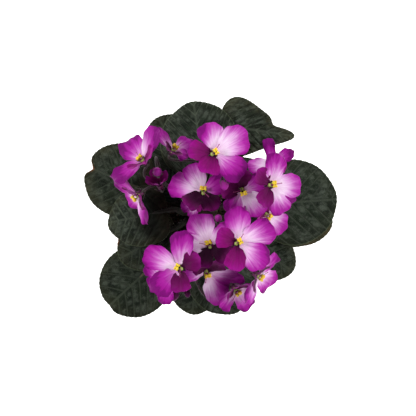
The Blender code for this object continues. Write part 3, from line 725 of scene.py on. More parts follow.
def petal_material():
    settings = {"Sheen Weight": 0.03, "Sheen Roughness": 0.4, "Sheen Tint": (1.0, 0.4, 0.9, 1),
                "Subsurface Weight": 0.05, "Subsurface Radius": (1.0, 0.2, 0.9), "Subsurface Scale": 0.0005,
                "Specular IOR Level": 0.06}
    material, w, shader = new_material("petal", settings)
    reach, across, fan, flush = w.value("reach"), w.value("across"), w.value("fan"), w.value("flush")
    broad = w.vector(w.times(fan, 4.5), reach, w.times(w.value("mark"), 9.0))
    streak = w.noise(broad, 1.6, 4.0, 0.6)
    fine = w.noise(w.vector(w.times(fan, 40.0), reach, flush), 1.5, 2.0, 0.5)
    flame = w.minus(streak, 0.5)
    depth = w.plus(w.times(reach, 0.95), w.times(w.times(across, across), w.times(reach, 0.3)))
    depth = w.plus(depth, w.times(flame, 0.55))
    depth = w.plus(depth, w.times(w.minus(flush, 0.4), 0.45))
    depth = w.plus(depth, w.times(across, w.value("lean")))
    lower = w.ramp(depth, (0.24, (0.90, 0.68, 0.90)), (0.42, (0.74, 0.36, 0.72)),
                   (0.58, (0.55, 0.11, 0.50)), (0.75, (0.42, 0.022, 0.36)),
                   (0.92, (0.33, 0.007, 0.27)), (1.0, (0.20, 0.004, 0.17)))
    lines = w.times(w.fade(fine, 0.5, 0.62), w.fade(reach, 0.12, 0.42, 0.7, 0.0))
    lower = w.mix(lines, lower, (0.42, 0.03, 0.34))
    upper = w.ramp(w.plus(reach, w.times(flame, 0.6)), (0.1, (0.04, 0.001, 0.026)),
                   (0.35, (0.15, 0.002, 0.09)), (0.7, (0.23, 0.003, 0.145)), (1.0, (0.32, 0.006, 0.24)))
    deep = w.times(w.value("deep"), w.fade(reach, 0.5, 1.1, 1.0, 0.5))
    upper = w.mix(deep, upper, (0.03, 0.0015, 0.02))
    tint = w.mix(w.value("dark"), lower, upper)
    tint = w.mix(w.times(w.value("under"), 0.4), tint, (0.50, 0.15, 0.46))
    cord = w.ramp(fine, (0.3, (0.78, 0.72, 0.78)), (0.5, (0.93, 0.92, 0.92)),
                  (0.7, (1.02, 1.03, 1.01)))
    w.feed(shader["Base Color"], w.mix(1.0, tint, cord, "MULTIPLY"))
    roughen(w, shader, 0.42, fine, 0.25)
    veins = w.bumpy(w.plus(fine, streak), 0.3, 0.0003)
    sparkle = w.group(PILE, Cell_Scale=2200.0, Softness=0.3)["Height"]
    w.feed(shader["Normal"], w.bumpy(sparkle, 0.15, 0.0002, veins))
    return material


def throat_material():
    material, w, shader = new_material("flower_throat", LIVING)
    mottle = mottled(w, 400.0, 2500.0)
    w.feed(shader["Base Color"], w.mix(mottle["Blotch"], (0.06, 0.003, 0.04), (0.16, 0.01, 0.10)))
    roughen(w, shader, 0.5, mottle["Fleck"])
    return material


def grainy_material(name, first, second, rough, cell, settings=None, height=0.0002, strength=0.4):
    """A finish of two mingled tints with a fine grain, for the small parts of the plant."""
    material, w, shader = new_material(name, settings or {})
    mottle = mottled(w, cell / 6, cell)
    mingled = w.plus(w.times(mottle["Blotch"], 0.7), w.times(mottle["Fleck"], 0.3))
    w.feed(shader["Base Color"], w.mix(mingled, first, second))
    roughen(w, shader, rough - 0.1, mottle["Fleck"])
    velvet(w, shader, cell, strength, height, 0.6)
    return material


def bud_material():
    settings = {**LIVING, "Sheen Weight": 0.03, "Sheen Roughness": 0.4, "Specular IOR Level": 0.1}
    material, w, shader = new_material("bud_petals", settings)
    along, seam = w.value("along"), w.value("seam")
    mottle = mottled(w, 300.0, 2200.0)
    tint = w.ramp(along, (0.0, (0.10, 0.008, 0.07)), (0.5, (0.17, 0.006, 0.12)), (1.0, (0.34, 0.015, 0.28)))
    tint = w.mix(w.times(seam, 0.8), tint, (0.05, 0.002, 0.04))
    tint = w.mix(w.times(mottle["Blotch"], 0.3), tint, (0.36, 0.03, 0.31))
    w.feed(shader["Base Color"], w.mix(w.times(w.value("dark"), 0.85), tint, (0.035, 0.002, 0.022)))
    roughen(w, shader, 0.45, mottle["Fleck"])
    velvet(w, shader, 2600.0, 0.3)
    return material


def pot_material():
    material, w, shader = new_material("pot_plastic", {"Specular IOR Level": 0.45})
    mottle = mottled(w, 35.0, 1600.0)
    clay = w.mix(mottle["Blotch"], (0.22, 0.062, 0.026), (0.27, 0.086, 0.037))
    clay = w.mix(w.times(mottle["Fleck"], 0.25), clay, (0.33, 0.125, 0.062))
    chalk = w.noise(w.place(), 48.0, 5.0, 0.65)
    height = w.node("ShaderNodeSeparateXYZ", {0: w.place()}).outputs[2]
    low = w.fade(height, 0.0, 0.022, 1.0, 0.0)
    dusty = w.times(w.fade(chalk, 0.55, 0.75), w.plus(0.12, w.times(low, 0.35)))
    w.feed(shader["Base Color"], w.mix(dusty, clay, (0.45, 0.32, 0.24)))
    roughen(w, shader, 0.42, mottle["Blotch"], 0.12)
    w.feed(shader["Normal"], w.bumpy(mottle["Fleck"], 0.12, 0.0002))
    return material


def plain_material(name, tint, rough, settings=None):
    material, _, shader = new_material(name, settings or {})
    shader["Base Color"].default_value = (*tint, 1.0)
    shader["Roughness"].default_value = rough
    return material


# ---- things that repeat: hairs and crumbs ----


FINISHES = ("First Finish", "Second Finish")
SECOND_SHARE = 0.3  # of what grows, how much has the second finish
# how many to a square metre, how large, and the seed of their places
CRUMBS = {"Density": 5.5e5, "Radius": 0.00085, "Seed": 11}
GRAINS = {"Density": 3.0e4, "Radius": 0.0011, "Seed": 23}
LEAF_HAIRS = {"Density": 1.1e6, "Length": 0.0011, "Thickness": 0.000035, "Seed": 5}
STALK_HAIRS = {"Density": 2.2e6, "Length": 0.0009, "Thickness": 0.00003, "Seed": 6}


class Growth:
    """A geometry tree that scatters small things over a surface, where an attribute of it allows."""

    def __init__(self, name, sizes):
        self.tree = bpy.data.node_groups.new(name, "GeometryNodeTree")
        sockets = self.tree.interface
        sockets.new_socket("Surface", in_out="INPUT", socket_type="NodeSocketGeometry")
        self.names = {}
        for label, value in sizes.items():
            kind = "NodeSocketInt" if isinstance(value, int) else "NodeSocketFloat"
            socket = sockets.new_socket(label, in_out="INPUT", socket_type=kind)
            socket.default_value = value
            self.names[label] = socket.identifier
        for label in FINISHES:
            socket = sockets.new_socket(label, in_out="INPUT", socket_type="NodeSocketMaterial")
            self.names[label] = socket.identifier
        sockets.new_socket("Grown", in_out="OUTPUT", socket_type="NodeSocketGeometry")
        self.w = Wiring(self.tree)
        self.given = self.w.node("NodeGroupInput", {}).outputs
        self.out = self.w.node("NodeGroupOutput", {}).inputs

    def scatter(self, item, turn, low, high):
        """Instances of the item over the surface, turned and scaled at random, made real."""
        w, given = self.w, self.given
        where = w.node("GeometryNodeInputNamedAttribute", {"Name": "bears"}, data_type="FLOAT").outputs[0]
        density = w.times(where, given["Density"])
        points = w.node("GeometryNodeDistributePointsOnFaces",
                        {"Mesh": given["Surface"], "Density": density, "Seed": given["Seed"]})
        spin = self.random_vector((-turn, -turn, -math.pi), (turn, turn, math.pi), 1)
        feeds = {"Rotation": points.outputs["Rotation"], "Rotate By": spin}
        rotation = w.node("FunctionNodeRotateRotation", feeds, rotation_space="LOCAL")
        scale = self.random_vector(low, high, 2)
        feeds = {"Points": points.outputs["Points"], "Instance": item, "Scale": scale,
                 "Rotation": rotation.outputs[0]}
        made = w.node("GeometryNodeInstanceOnPoints", feeds).outputs[0]
        return w.node("GeometryNodeRealizeInstances", {"Geometry": made}).outputs[0]

    def random_vector(self, low, high, seed):
        feeds = {0: low, 1: high, "Seed": seed}
        return self.w.node("FunctionNodeRandomValue", feeds, data_type="FLOAT_VECTOR").outputs[0]

    def finish(self, geometry):
        """Sets the first finish everywhere, then the second on a random share of what was grown."""
        w = self.w
        first, second = (self.given[label] for label in FINISHES)
        geometry = w.node("GeometryNodeSetMaterial", {"Geometry": geometry, "Material": first}).outputs[0]
        islands = w.node("GeometryNodeInputMeshIsland", {}).outputs[0]
        feeds = {"Probability": SECOND_SHARE, "ID": islands, "Seed": 8}
        chance = w.node("FunctionNodeRandomValue", feeds, data_type="BOOLEAN").outputs[3]
        feeds = {"Geometry": geometry, "Material": second, "Selection": chance}
        w.links.new(w.node("GeometryNodeSetMaterial", feeds).outputs[0], self.out["Grown"])

    def grow(self, name, mesh, sizes, *finishes):
        """A plain mesh of what grows on that surface with those sizes and finishes."""
        source = place(name + "_surface", mesh)
        modifier = source.modifiers.new("growth", "NODES")
        modifier.node_group = self.tree
        for label, value in (*sizes.items(), *zip(FINISHES, finishes)):
            modifier[self.names[label]] = value
        return finished_mesh(source, name)


def hair_growth():
    growth = Growth("hairs", LEAF_HAIRS)
    given = growth.given
    feeds = {"Vertices": 3, "Radius Top": 0.0, "Radius Bottom": given["Thickness"],
             "Depth": given["Length"]}
    hair = growth.w.node("GeometryNodeMeshCone", feeds).outputs["Mesh"]
    growth.finish(growth.scatter(hair, 0.55, (0.8, 0.8, 0.5), (1.2, 1.2, 1.25)))
    return growth


def crumb_growth():
    growth = Growth("crumbs", CRUMBS)
    w, given = growth.w, growth.given
    feeds = {"Radius": given["Radius"], "Subdivisions": 1}
    ball = w.node("GeometryNodeMeshIcoSphere", feeds).outputs["Mesh"]
    lumps = w.node("ShaderNodeTexNoise", {"Scale": 900.0, "Detail": 1.0}).outputs["Fac"]
    shove = w.times(w.minus(lumps, 0.5), w.times(given["Radius"], 1.8))
    normal = w.node("GeometryNodeInputNormal", {}).outputs[0]
    offset = w.node("ShaderNodeVectorMath", {0: normal, "Scale": shove}, operation="SCALE").outputs[0]
    lump = w.node("GeometryNodeSetPosition", {"Geometry": ball, "Offset": offset}).outputs[0]
    growth.finish(growth.scatter(lump, 3.0, (0.35, 0.3, 0.25), (1.4, 1.2, 0.9)))
    return growth


# ---- pot, soil and crown ----


def inner_radius(height):
    share = (height - POT_FLOOR) / (POT_HEIGHT - POT_FLOOR)
    bottom = POT_BASE_RADIUS - POT_WALL
    return bottom + (POT_TOP_RADIUS - POT_WALL - bottom) * share


def rounded(profile, radius, steps=4):
    """The profile with each corner eased to about that radius."""
    eased = [profile[0]]
    for before, corner, after in zip(profile, profile[1:], profile[2:]):
        before, corner, after = (np.array(p, float) for p in (before, corner, after))
        reach = min(radius, 0.45 * np.linalg.norm(corner - before), 0.45 * np.linalg.norm(after - corner))
        start = corner + unit(before - corner) * reach
        end = corner + unit(after - corner) * reach
        for i in range(steps + 1):
            t = i / steps
            eased.append(tuple(start * (1 - t) ** 2 + corner * 2 * t * (1 - t) + end * t * t))
    return eased + [profile[-1]]


WORLD_AXES = (np.array((1.0, 0, 0)), np.array((0, 1.0, 0)), np.array((0, 0, 1.0)))


def make_pot(material):
    step = POT_HEIGHT - RIM_HEIGHT
    below = inner_radius(step) + POT_WALL
    outer_rim = POT_TOP_RADIUS + RIM_STEP
    shape = Shape()
    middle = DRAIN_RADIUS + 2
    profile = [(middle, 0), (POT_BASE_RADIUS, 0), (below, step), (below + RIM_STEP, step),
               (outer_rim, POT_HEIGHT), (inner_radius(POT_HEIGHT), POT_HEIGHT),
               (inner_radius(POT_FLOOR), POT_FLOOR), (middle, POT_FLOOR)]
    add_turned(shape, (0, 0, 0), WORLD_AXES, rounded(profile, POT_EASING), 128)
    pot = place("pot_solid", make_mesh("pot_solid", shape, [material]))
    holes = Shape()
    bore = [(DRAIN_RADIUS, -2 * POT_FLOOR), (DRAIN_RADIUS, 2 * POT_FLOOR)]
    for i in range(DRAIN_COUNT):
        middle = compass(360 * (i + 0.5) / DRAIN_COUNT) * DRAIN_CIRCLE
        add_turned(holes, middle, WORLD_AXES, bore, 32)
    cutters = place("drain_cutters", make_mesh("drain_cutters", holes, [material]))
    drain = pot.modifiers.new("drain", "BOOLEAN")
    drain.operation = "DIFFERENCE"
    drain.solver = "EXACT"
    drain.object = cutters
    mesh = finished_mesh(pot, "pot")
    bpy.data.objects.remove(cutters)
    mesh.set_sharp_from_angle(angle=math.radians(40))
    settle("pot", mesh, "pot", "pot")


def make_soil(soil, bark, grit):
    """Potting mix with an uneven top, strewn with crumbs and grit outside the crown."""
    rings, count = 26, 96
    rim = inner_radius(SOIL_TOP) - 2 * GAP
    low = POT_FLOOR + GAP
    turn = round_angles(count)
    layers = []
    for i in range(rings):
        radius = rim * (i + 1) / rings
        x, y = radius * np.cos(turn), radius * np.sin(turn)
        lumps = 0.5 * ripple(x * 0.25, y * 0.25, 3) + 0.45 * ripple(x * 0.8, y * 0.8, 4)
        lumps = lumps + 0.3 * ripple(x * 2, y * 2, 5)
        sunk = 1.4 * smooth(radius, rim - 4, rim)
        lumps = lumps * smooth(radius, CROWN_RADIUS, CROWN_RADIUS + 4) - sunk
        layers.append(level_ring(radius, SOIL_TOP - 0.2 + lumps, count))
    sides = [SOIL_TOP - 6, SOIL_TOP / 2, low + 1.5, low]
    layers += [level_ring(inner_radius(height) - 2 * GAP, height, count) for height in sides]
    shape = Shape()
    steps = np.linspace(rim / rings, rim * 0.97, rings)[:-1]
    bears = [smooth(step, rim * 0.26, rim * 0.3) for step in steps]
    add_rings(shape, layers, bears=bears + [0.0] * (len(sides) + 1))
    mesh = make_mesh("soil", shape, [soil])
    growth = crumb_growth()
    bed = mesh.copy()
    crumbs = growth.grow("soil_crumbs", bed, CRUMBS, soil, bark)
    grains = growth.grow("grit_grains", bed, GRAINS, grit, grit)
    settle("soil", mesh, "soil", "soil")
    for made in (crumbs, grains):
        made.shade_smooth()
        settle(made.name, made, "soil")


def make_crown(bark, green):
    """The short thick stem, ringed with the scars of old leaves, with a few leaves unfolding on top."""
    shape = Shape()
    count, steps = 64, 39
    turn = round_angles(count)
    low = SOIL_TOP + GAP
    rings = []
    for i in range(steps + 1):
        t = i / steps
        height = low + (CROWN_TOP - low) * t
        dome = math.sqrt(max(0.02, 1 - (max(0, t - 0.8) / 0.2) ** 2 * 0.9))
        radius = CROWN_RADIUS * (0.9 + 0.08 * math.sin(math.pi * t)) * dome
        scars = 0.45 * np.sin(5 * turn + height * 1.9) * math.sin(height * 1.6)
        scars = scars + 0.3 * ripple(turn * 6, height, 9)
        rings.append(level_ring(np.minimum(radius + scars, CROWN_RADIUS), height, count))
    add_rings(shape, rings)
    luck = random.Random(31)
    for i in range(YOUNG_LEAVES):
        azimuth, out = i * YOUNG_TURN, 1.2 + 0.35 * i
        foot = compass(azimuth) * out * 0.6 + np.array((0, 0, CROWN_TOP - 2.5))
        tip = foot + compass(azimuth, 62 - 4 * i) * luck.uniform(2.5, 3.6)
        spine = bezier(foot, foot + np.array((0, 0, 1.0)), tip - compass(azimuth, 20), tip, 6)
        widths = [0.5, 0.9, 1.1, 1.1, 0.9, 0.6, 0.15]
        add_ribbon(shape, spine, compass(azimuth + 90), widths, 0.5, 0.25, finish=1)
    settle("crown", make_mesh("crown", shape, [bark, green]), "stem", "crown")


# ---- leaves ----


def blade_outline(leaf, angle):
    """Places of the margin along the midrib and to its left, at those angles round the blade's middle."""
    x, y = np.cos(angle), np.sin(angle)
    reach = 1 / np.hypot(x / (leaf.length / 2), y / (leaf.width / 2))
    from_base = math.pi - np.abs(angle)
    reach = reach * (1 - SINUS_DEPTH * bump(from_base, 0, SINUS_ANGLE))
    reach = reach * (1 + SHOULDER_SWELL * bump(from_base, SHOULDER_AT, SHOULDER_ANGLE))
    reach = reach * (1 - leaf.notch * bump(angle, 0, TIP_ANGLE))
    reach = reach * (1 - WAIST.get(leaf.name, 0.0) * bump(angle, WAIST_AT, WAIST_ANGLE))
    reach = reach * (1 - TOOTH_DEPTH * (1 - np.abs(np.sin(angle * MARGIN_TEETH / 2))))
    return leaf.length / 2 + reach * x, reach * y * (1 - leaf.taper * x)


def on_blade(leaf, along, left, lift=0.0):
    """Where points of the flat blade lie once the midrib arches and the margins curl."""
    along, left, lift = np.broadcast_arrays(*(np.asarray(v, float) for v in (along, left, lift)))
    along, left, lift = along[..., None], left[..., None], lift[..., None]
    rise, fall = math.radians(leaf.rise), math.radians(leaf.fall)
    bend = (fall - rise) / leaf.length
    pitch = rise + bend * along
    flat = (np.sin(pitch) - math.sin(rise)) / bend
    high = (math.cos(rise) - np.cos(pitch)) / bend
    ahead, side, up = compass(leaf.heading), compass(leaf.heading + 90), WORLD_AXES[2]
    normal = up * np.cos(pitch) - ahead * np.sin(pitch)
    bank = math.radians(leaf.bank)
    across = side * math.cos(bank) + normal * math.sin(bank)
    normal = normal * math.cos(bank) - side * math.sin(bank)
    curl = math.radians(leaf.curl) / (leaf.width / 2)
    turn = curl * left
    midrib = np.array(leaf.base, float) + ahead * flat + up * high
    return midrib + across * np.sin(turn) / curl + normal * ((1 - np.cos(turn)) / curl + lift)


def petiole_path(leaf):
    azimuth, height = leaf.root
    foot = compass(azimuth) * (CROWN_RADIUS + GAP) + np.array((0, 0, height))
    start = foot + compass(azimuth) * STEM_FOOT
    joint, *keel = [on_blade(leaf, share * leaf.length, 0, -BLADE_THICK / 2) for share in KEEL]
    handle = np.linalg.norm(joint - start) * 0.35
    leave = start + compass(azimuth, PETIOLE_RISE) * handle
    arrive = joint - compass(leaf.heading, leaf.rise) * handle
    return [foot] + bezier(start, leave, arrive, joint, PETIOLE_STEPS) + keel


def veining(leaf):
    return VEINING.get(leaf.name, PLAIN_VEINING)


def vein_rows(leaf, along, left):
    """Counts the side veins from base to tip; a vein runs wherever this is a whole number."""
    spacing = leaf.length / VEIN_PAIRS
    slanted = along - veining(leaf).slant * np.abs(left) - VEIN_SWEEP * left**2
    return slanted / spacing + 0.12 * ripple(along * 0.12, left * 0.12, leaf.name)


def blade_relief(leaf, along, left, share):
    """Height of the blade over its flat shape, depth in a vein, row of side veins, puffiness."""
    row = vein_rows(leaf, along, left)
    from_vein = np.abs(row - np.round(row)) * leaf.length / VEIN_PAIRS
    cell = np.abs(left) / CROSS_SPACING + 0.5 * (np.floor(row) % 2)
    cell = cell + 0.3 * ripple(along * 0.2, left * 0.2, leaf.name + "c")
    from_cross = np.abs(cell - np.round(cell)) * CROSS_SPACING
    lateral = bump(from_vein, 0, VEIN_HALF)
    cross = veining(leaf).crossing * bump(from_cross, 0, CROSS_HALF)
    midrib = bump(left, 0, MIDRIB_HALF)
    valley = np.maximum(np.maximum(lateral, cross), midrib)
    inside = 1 - smooth(share, 0.86, 1.0)
    waves = 0.9 * ripple(along * 0.09, left * 0.09, leaf.name + "w") * smooth(share, 0.1, 0.9)
    around = np.arctan2(left, along - leaf.length / 2)
    flutter = 0.7 * np.sin(around * 7 + len(leaf.name)) * share**5
    near = bump(left, 0, 2.5)
    quilt = (veining(leaf).depth * (0.8 * (1 - valley) - 0.3) * (1 - near) - 0.3 * near) * inside
    return quilt + waves + flutter, np.maximum(lateral, midrib) * inside, row, (1 - valley) * inside


def hairiness(points):
    """Where hairs grow: everywhere but in the painted shade at the heart of the plant."""
    from_heart = np.hypot(points[:, 0] - HEART[0], (points[:, 1] - HEART[1]) * HEART_SQUEEZE)
    return 0.03 + 0.97 * smooth(from_heart, HEART_INNER, HEART_OUTER)


def add_blade(shape, leaf):
    shares = np.linspace(0, 1, BLADE_RINGS + 1)[1:] ** 0.9
    x, y = blade_outline(leaf, round_angles(BLADE_ANGLES) - math.pi)
    along = outward(leaf.length / 2, x - leaf.length / 2, shares)
    left = outward(0.0, y, shares)
    share = outward(0.0, np.ones(BLADE_ANGLES), shares)
    height, vein, row, puff = blade_relief(leaf, along, left, share)
    thick = BLADE_THICK + (BLADE_EDGE - BLADE_THICK) * share**3
    top = on_blade(leaf, along, left, thick / 2 + height)
    under = on_blade(leaf, along, left, height - thick / 2 - 0.45 * vein)
    around = np.arctan2(left, along - leaf.length / 2)
    scorch = np.zeros(len(share))
    if leaf.name in SCORCHED:
        start, middle, half = SCORCHED[leaf.name]
        scorch = smooth(share, start, 1.0) * bump(around, middle, half)
    ribs = np.full(len(share), veining(leaf).paleness)
    sided = {"row": row, "left": left, "share": share, "scorch": scorch, "puff": puff, "ribs": ribs}
    bears = np.concatenate([hairiness(top), UNDER_HAIRS * hairiness(under)])
    add_sheet(shape, top, under, BLADE_RINGS, sided, age=leaf.age, bears=bears)


def make_leaf(leaf, blade, petiole):
    """A blade with its petiole, which runs on under it as a midrib."""
    shape = Shape()
    add_blade(shape, leaf)
    path = petiole_path(leaf)
    steps = len(path)
    radii = [PETIOLE_RADIUS * (1.1 - 0.2 * i / PETIOLE_STEPS) for i in range(PETIOLE_STEPS + 1)]
    radii = [radii[0]] + radii + [MIDRIB_RADIUS * k for k in (1.5, 1.0, 0.45)]
    add_tube(shape, path, radii[:steps], 14, finish=1, bears=np.full(steps, 0.7))
    mesh = make_mesh(leaf.name, shape, [blade, petiole])
    settle(leaf.name, mesh, "leaf", leaf.name)
    return mesh


# ---- flowers ----


def facing(lean, tilt, turn=0.0):
    """Right, upper side and face direction of a flower that leans that way and is turned about its face."""
    face = compass(lean, 90 - tilt)
    upper = -compass(lean, -tilt)
    a = math.radians(turn)
    upper = upper * math.cos(a) + np.cross(face, upper) * math.sin(a)
    return np.cross(upper, face), upper, face


def lobe_tilts(flower):
    luck = random.Random(flower.name)
    return [luck.uniform(-LOBE_LIFT_SPREAD, LOBE_LIFT_SPREAD) for _ in LOBES]


def mouth_radius(flower):
    return max(THROAT_SHARE * flower.size, TUBE_RADIUS * 0.9)


def lobe_margin(flower, length, half, core, phases, luck):
    """How far the margin of a lobe lies ahead of its core and aside, waved and a little notched."""
    angle = round_angles(LOBE_ANGLES)
    cos, sin = np.cos(angle), np.sin(angle)
    wavy = 1 + 0.04 * np.sin(4 * angle + phases[0]) + 0.028 * np.sin(9 * angle + phases[1])
    from_tip = (angle + math.pi) % FULL_TURN - math.pi
    wavy = wavy - 0.05 * luck.uniform(0, 1) * bump(from_tip, luck.uniform(-0.2, 0.2), 0.22)
    ends = np.where(cos > 0, length - core, core - mouth_radius(flower) * 0.7)
    ahead = ends * np.sign(cos) * np.abs(cos) ** 0.92 * wavy
    fullness = np.abs(sin) ** luck.uniform(0.85, 1.15)
    return ahead, half * np.sign(sin) * fullness * wavy * (1 - 0.42 * ((1 - cos) / 2) ** 1.6)


def add_lobe(shape, flower, index, lift, axes, luck):
    """One petal lobe: a thin closed sheet, egg-shaped, arched and a little ruffled."""
    right, upper, face = axes
    middle, length, half = LOBES[index]
    turn, longer, wider, raised = LOBE_CHANGES.get(flower.name, PLAIN_LOBES)[index]
    size = flower.size
    length, half = length * size * longer, half * size * LOBE_FULLNESS * wider
    core = LOBE_CORE * length
    phases = [luck.uniform(0, FULL_TURN) for _ in range(4)]
    ahead_edge, aside_edge = lobe_margin(flower, length, half, core, phases, luck)
    shares = np.linspace(0, 1, LOBE_RINGS + 1)[1:] ** 0.85
    x, y = outward(core, ahead_edge, shares), outward(0.0, aside_edge, shares)
    share = outward(0.0, np.ones(LOBE_ANGLES), shares)
    around = np.concatenate([[0.0], np.tile(round_angles(LOBE_ANGLES), LOBE_RINGS)])
    reach = np.clip(np.hypot(x, y) / length, 0, 1.05)
    across = np.clip(y / half, -1, 1)
    fan = np.arctan2(y, x)
    rise = (flower.cup + lift + raised) * size * reach**LOBE_RISE_POWER
    droop = luck.uniform(-0.01, 0.05) * size * across**2 * reach
    swing = np.sin(3 * around + phases[2]) + 0.7 * np.sin(5 * around + phases[3])
    ruffle = 0.045 * size * share**3 * reach * swing
    crease = -0.012 * size * bump(y, 0, 0.15 * half) * 4 * reach * np.clip(1 - reach, 0, 1)
    level = LOBE_LEVELS[index] * LEVEL_STEP * smooth(reach, 0.05, 0.45)
    cord = 0.04 * np.sin(fan * 34 + phases[0])
    curl = -0.03 * size * smooth(reach, 0.8, 1.05) * luck.uniform(0.2, 1.2)
    seed = flower.name + str(index)
    folds = 0.03 * size * ripple(x * 7 / size, y * 7 / size, seed) * smooth(reach, 0.25, 0.8)
    crinkle = 0.011 * size * ripple(x * 20 / size, y * 20 / size, seed + "c") * smooth(reach, 0.3, 0.9)
    height = rise - droop + ruffle + crease + level + cord + curl + folds + crinkle - PETAL_BED
    a = math.radians(middle + turn)
    ahead = upper * math.cos(a) + right * math.sin(a)
    aside = -upper * math.sin(a) + right * math.cos(a)
    flat = np.asarray(flower.at, float) + np.outer(x, ahead) + np.outer(y, aside)
    thick = PETAL_THICK * (1 - 0.45 * share**3)
    top = flat + np.outer(height + thick / 2, face)
    under = flat + np.outer(height - thick / 2, face)
    chance = (luck.uniform(0.2, 0.9), luck.uniform(-0.25, 0.25))
    flush, lean = LOBE_TINTS.get(flower.name, {}).get(index, chance)
    dark = 1.0 if index in UPPER_LOBES or flower.name in DARK_FLOWERS else 0.0
    sided = {"reach": reach, "across": across, "fan": fan, "share": share}
    add_sheet(shape, top, under, LOBE_RINGS, sided, dark=dark, deep=DEEP_HEARTS.get(flower.name, 0.0),
              flush=flush, lean=lean, mark=luck.uniform(0, 1))


def make_flower(flower, petal, throat):
    """Five lobes over a short tube."""
    axes = facing(flower.lean, flower.tilt, flower.turn)
    luck = random.Random(flower.name + " lobes")
    shape = Shape()
    for index, lift in enumerate(lobe_tilts(flower)):
        add_lobe(shape, flower, index, lift, axes, luck)
    mouth = mouth_radius(flower)
    profile = [(0.4, -THROAT_DEPTH - 0.5), (TUBE_RADIUS * 0.7, -THROAT_DEPTH), (mouth * 0.9, -0.75),
               (mouth, -0.5), (mouth * 0.98, -0.85), (TUBE_RADIUS, -THROAT_DEPTH),
               (TUBE_RADIUS * 0.9, -3.4), (TUBE_RADIUS * 0.8, -TUBE_LENGTH), (0.4, -TUBE_LENGTH)]
    add_turned(shape, flower.at, axes, profile, 28, finish=1)
    settle(flower.name, make_mesh(flower.name, shape, [petal, throat]), "petal", flower.name)


def make_stamens(flower, anther, ovary, style):
    """Two anthers of two cells each, their filaments, and the ovary with its bent style."""
    right, upper, face = facing(flower.lean, flower.tilt, flower.turn)
    at = np.asarray(flower.at, float)
    foot = at - face * (THROAT_DEPTH - GAP)
    middle = foot + face * STAMEN_HEIGHT - upper * STAMEN_SHIFT
    luck = random.Random(flower.name + " stamens")
    shape = Shape()
    for side in (-1, 1):
        for row in (-1, 1):
            apart = right * side * ANTHER_SPREAD + upper * row * CELL_SPREAD * side
            cell = middle + apart + face * luck.uniform(-0.2, 0.2)
            lean = right * 0.25 * side
            axes = ((right + lean) * 1.25, upper * 0.86 + right * 0.2 * row, face * 1.2)
            add_egg(shape, cell, axes, 14, 8)
        root = foot + right * side * 0.6
        leave, arrive = root + face * 1.6 + right * side * 0.9, middle + right * side * 1.6 - face * 1.6
        path = bezier(root, leave, arrive, middle + right * side * 0.9 - face * 0.3, 6)
        add_tube(shape, path, [FILAMENT_RADIUS] * len(path), 8, finish=1)
    seat = at + upper * 1.5 - face * 0.2
    add_egg(shape, seat, (right * 1.3, upper * 1.2, face * 1.7), 14, 8, finish=1)
    toward = compass(flower.style)
    toward = unit(toward - face * np.dot(toward, face))
    top = seat + face * 1.4
    tip = at + toward * STYLE_REACH + face * STYLE_RISE
    path = bezier(top, top + face * 1.2 + toward * 0.6, tip - toward * 2.4 - face * 0.2, tip, 10)
    add_tube(shape, path, [STYLE_RADIUS] * 10 + [0.3], 8, finish=2)
    add_egg(shape, tip, (right * 0.42, upper * 0.42, face * 0.42), 10, 6, finish=2)
    name = flower.name.replace("flower", "stamens")
    settle(name, make_mesh(name, shape, [anther, ovary, style]), "stamen", name)


def make_bud(bud, petal):
    """A closed bud whose five lobes wrap one over the next."""
    right, upper, face = facing(bud.lean, bud.tilt)
    count = 40
    turn = round_angles(count)
    rings, seams, heights = [], [], []
    for along, out in BUD_PROFILE:
        phase = 5 * (turn + 1.3 * along)
        saw = (phase % FULL_TURN) / FULL_TURN
        radius = out * bud.size * (1 + 0.1 * (saw - 0.5) * smooth(along, -0.4, 0.1))
        centre = np.asarray(bud.at, float) + face * along * bud.size
        across, upward = np.cos(turn) * radius, np.sin(turn) * radius
        rings.append(centre + np.outer(across, right) + np.outer(upward, upper))
        seams.append(smooth(saw, 0.86, 1.0) * smooth(along, -0.35, 0.0))
        heights.append(np.full(count, along + 0.5))
    foot = rings[0] * 0.2 + rings[0].mean(axis=0) * 0.8 - face * 0.03 * bud.size
    rings = [foot] + rings
    seams, heights = [seams[0]] + seams, [heights[0]] + heights
    shape = Shape()
    add_rings(shape, rings)
    shape.values = {
        "seam": [np.concatenate([[0.0], *seams, [0.5]])],
        "along": [np.concatenate([[0.0], *heights, [1.0]])],
        "dark": [np.full(shape.count, 1.0 if bud.name in DARK_BUDS else 0.0)],
    }
    settle(bud.name, make_mesh(bud.name, shape, [petal]), "bud", bud.name)


# ---- flower stalks ----


def add_sepals(shape, end, axes, start_out, spread, length, count=5):
    """The pointed sepals that stand round the base of a flower or bud."""
    right, upper, face = axes
    for i in range(count):
        a = FULL_TURN * (i + 0.25) / count
        out = right * math.cos(a) + upper * math.sin(a)
        side = np.cross(face, out)
        root = end - face * (CALYX_LENGTH - 0.6) + out * (PEDICEL_RADIUS * 0.8)
        knee = end + out * start_out + face * 0.2
        tip = end + out * spread + face * length
        spine = bezier(root, root + out * 0.9 + face * 0.6, knee, tip, 8)
        widths = [0.7, 0.85, 0.95, 1.0, 0.95, 0.8, 0.6, 0.35, 0.08]
        add_ribbon(shape, spine, side, widths, 0.32, 0.2, finish=1, bears=np.full(9, 1.0))


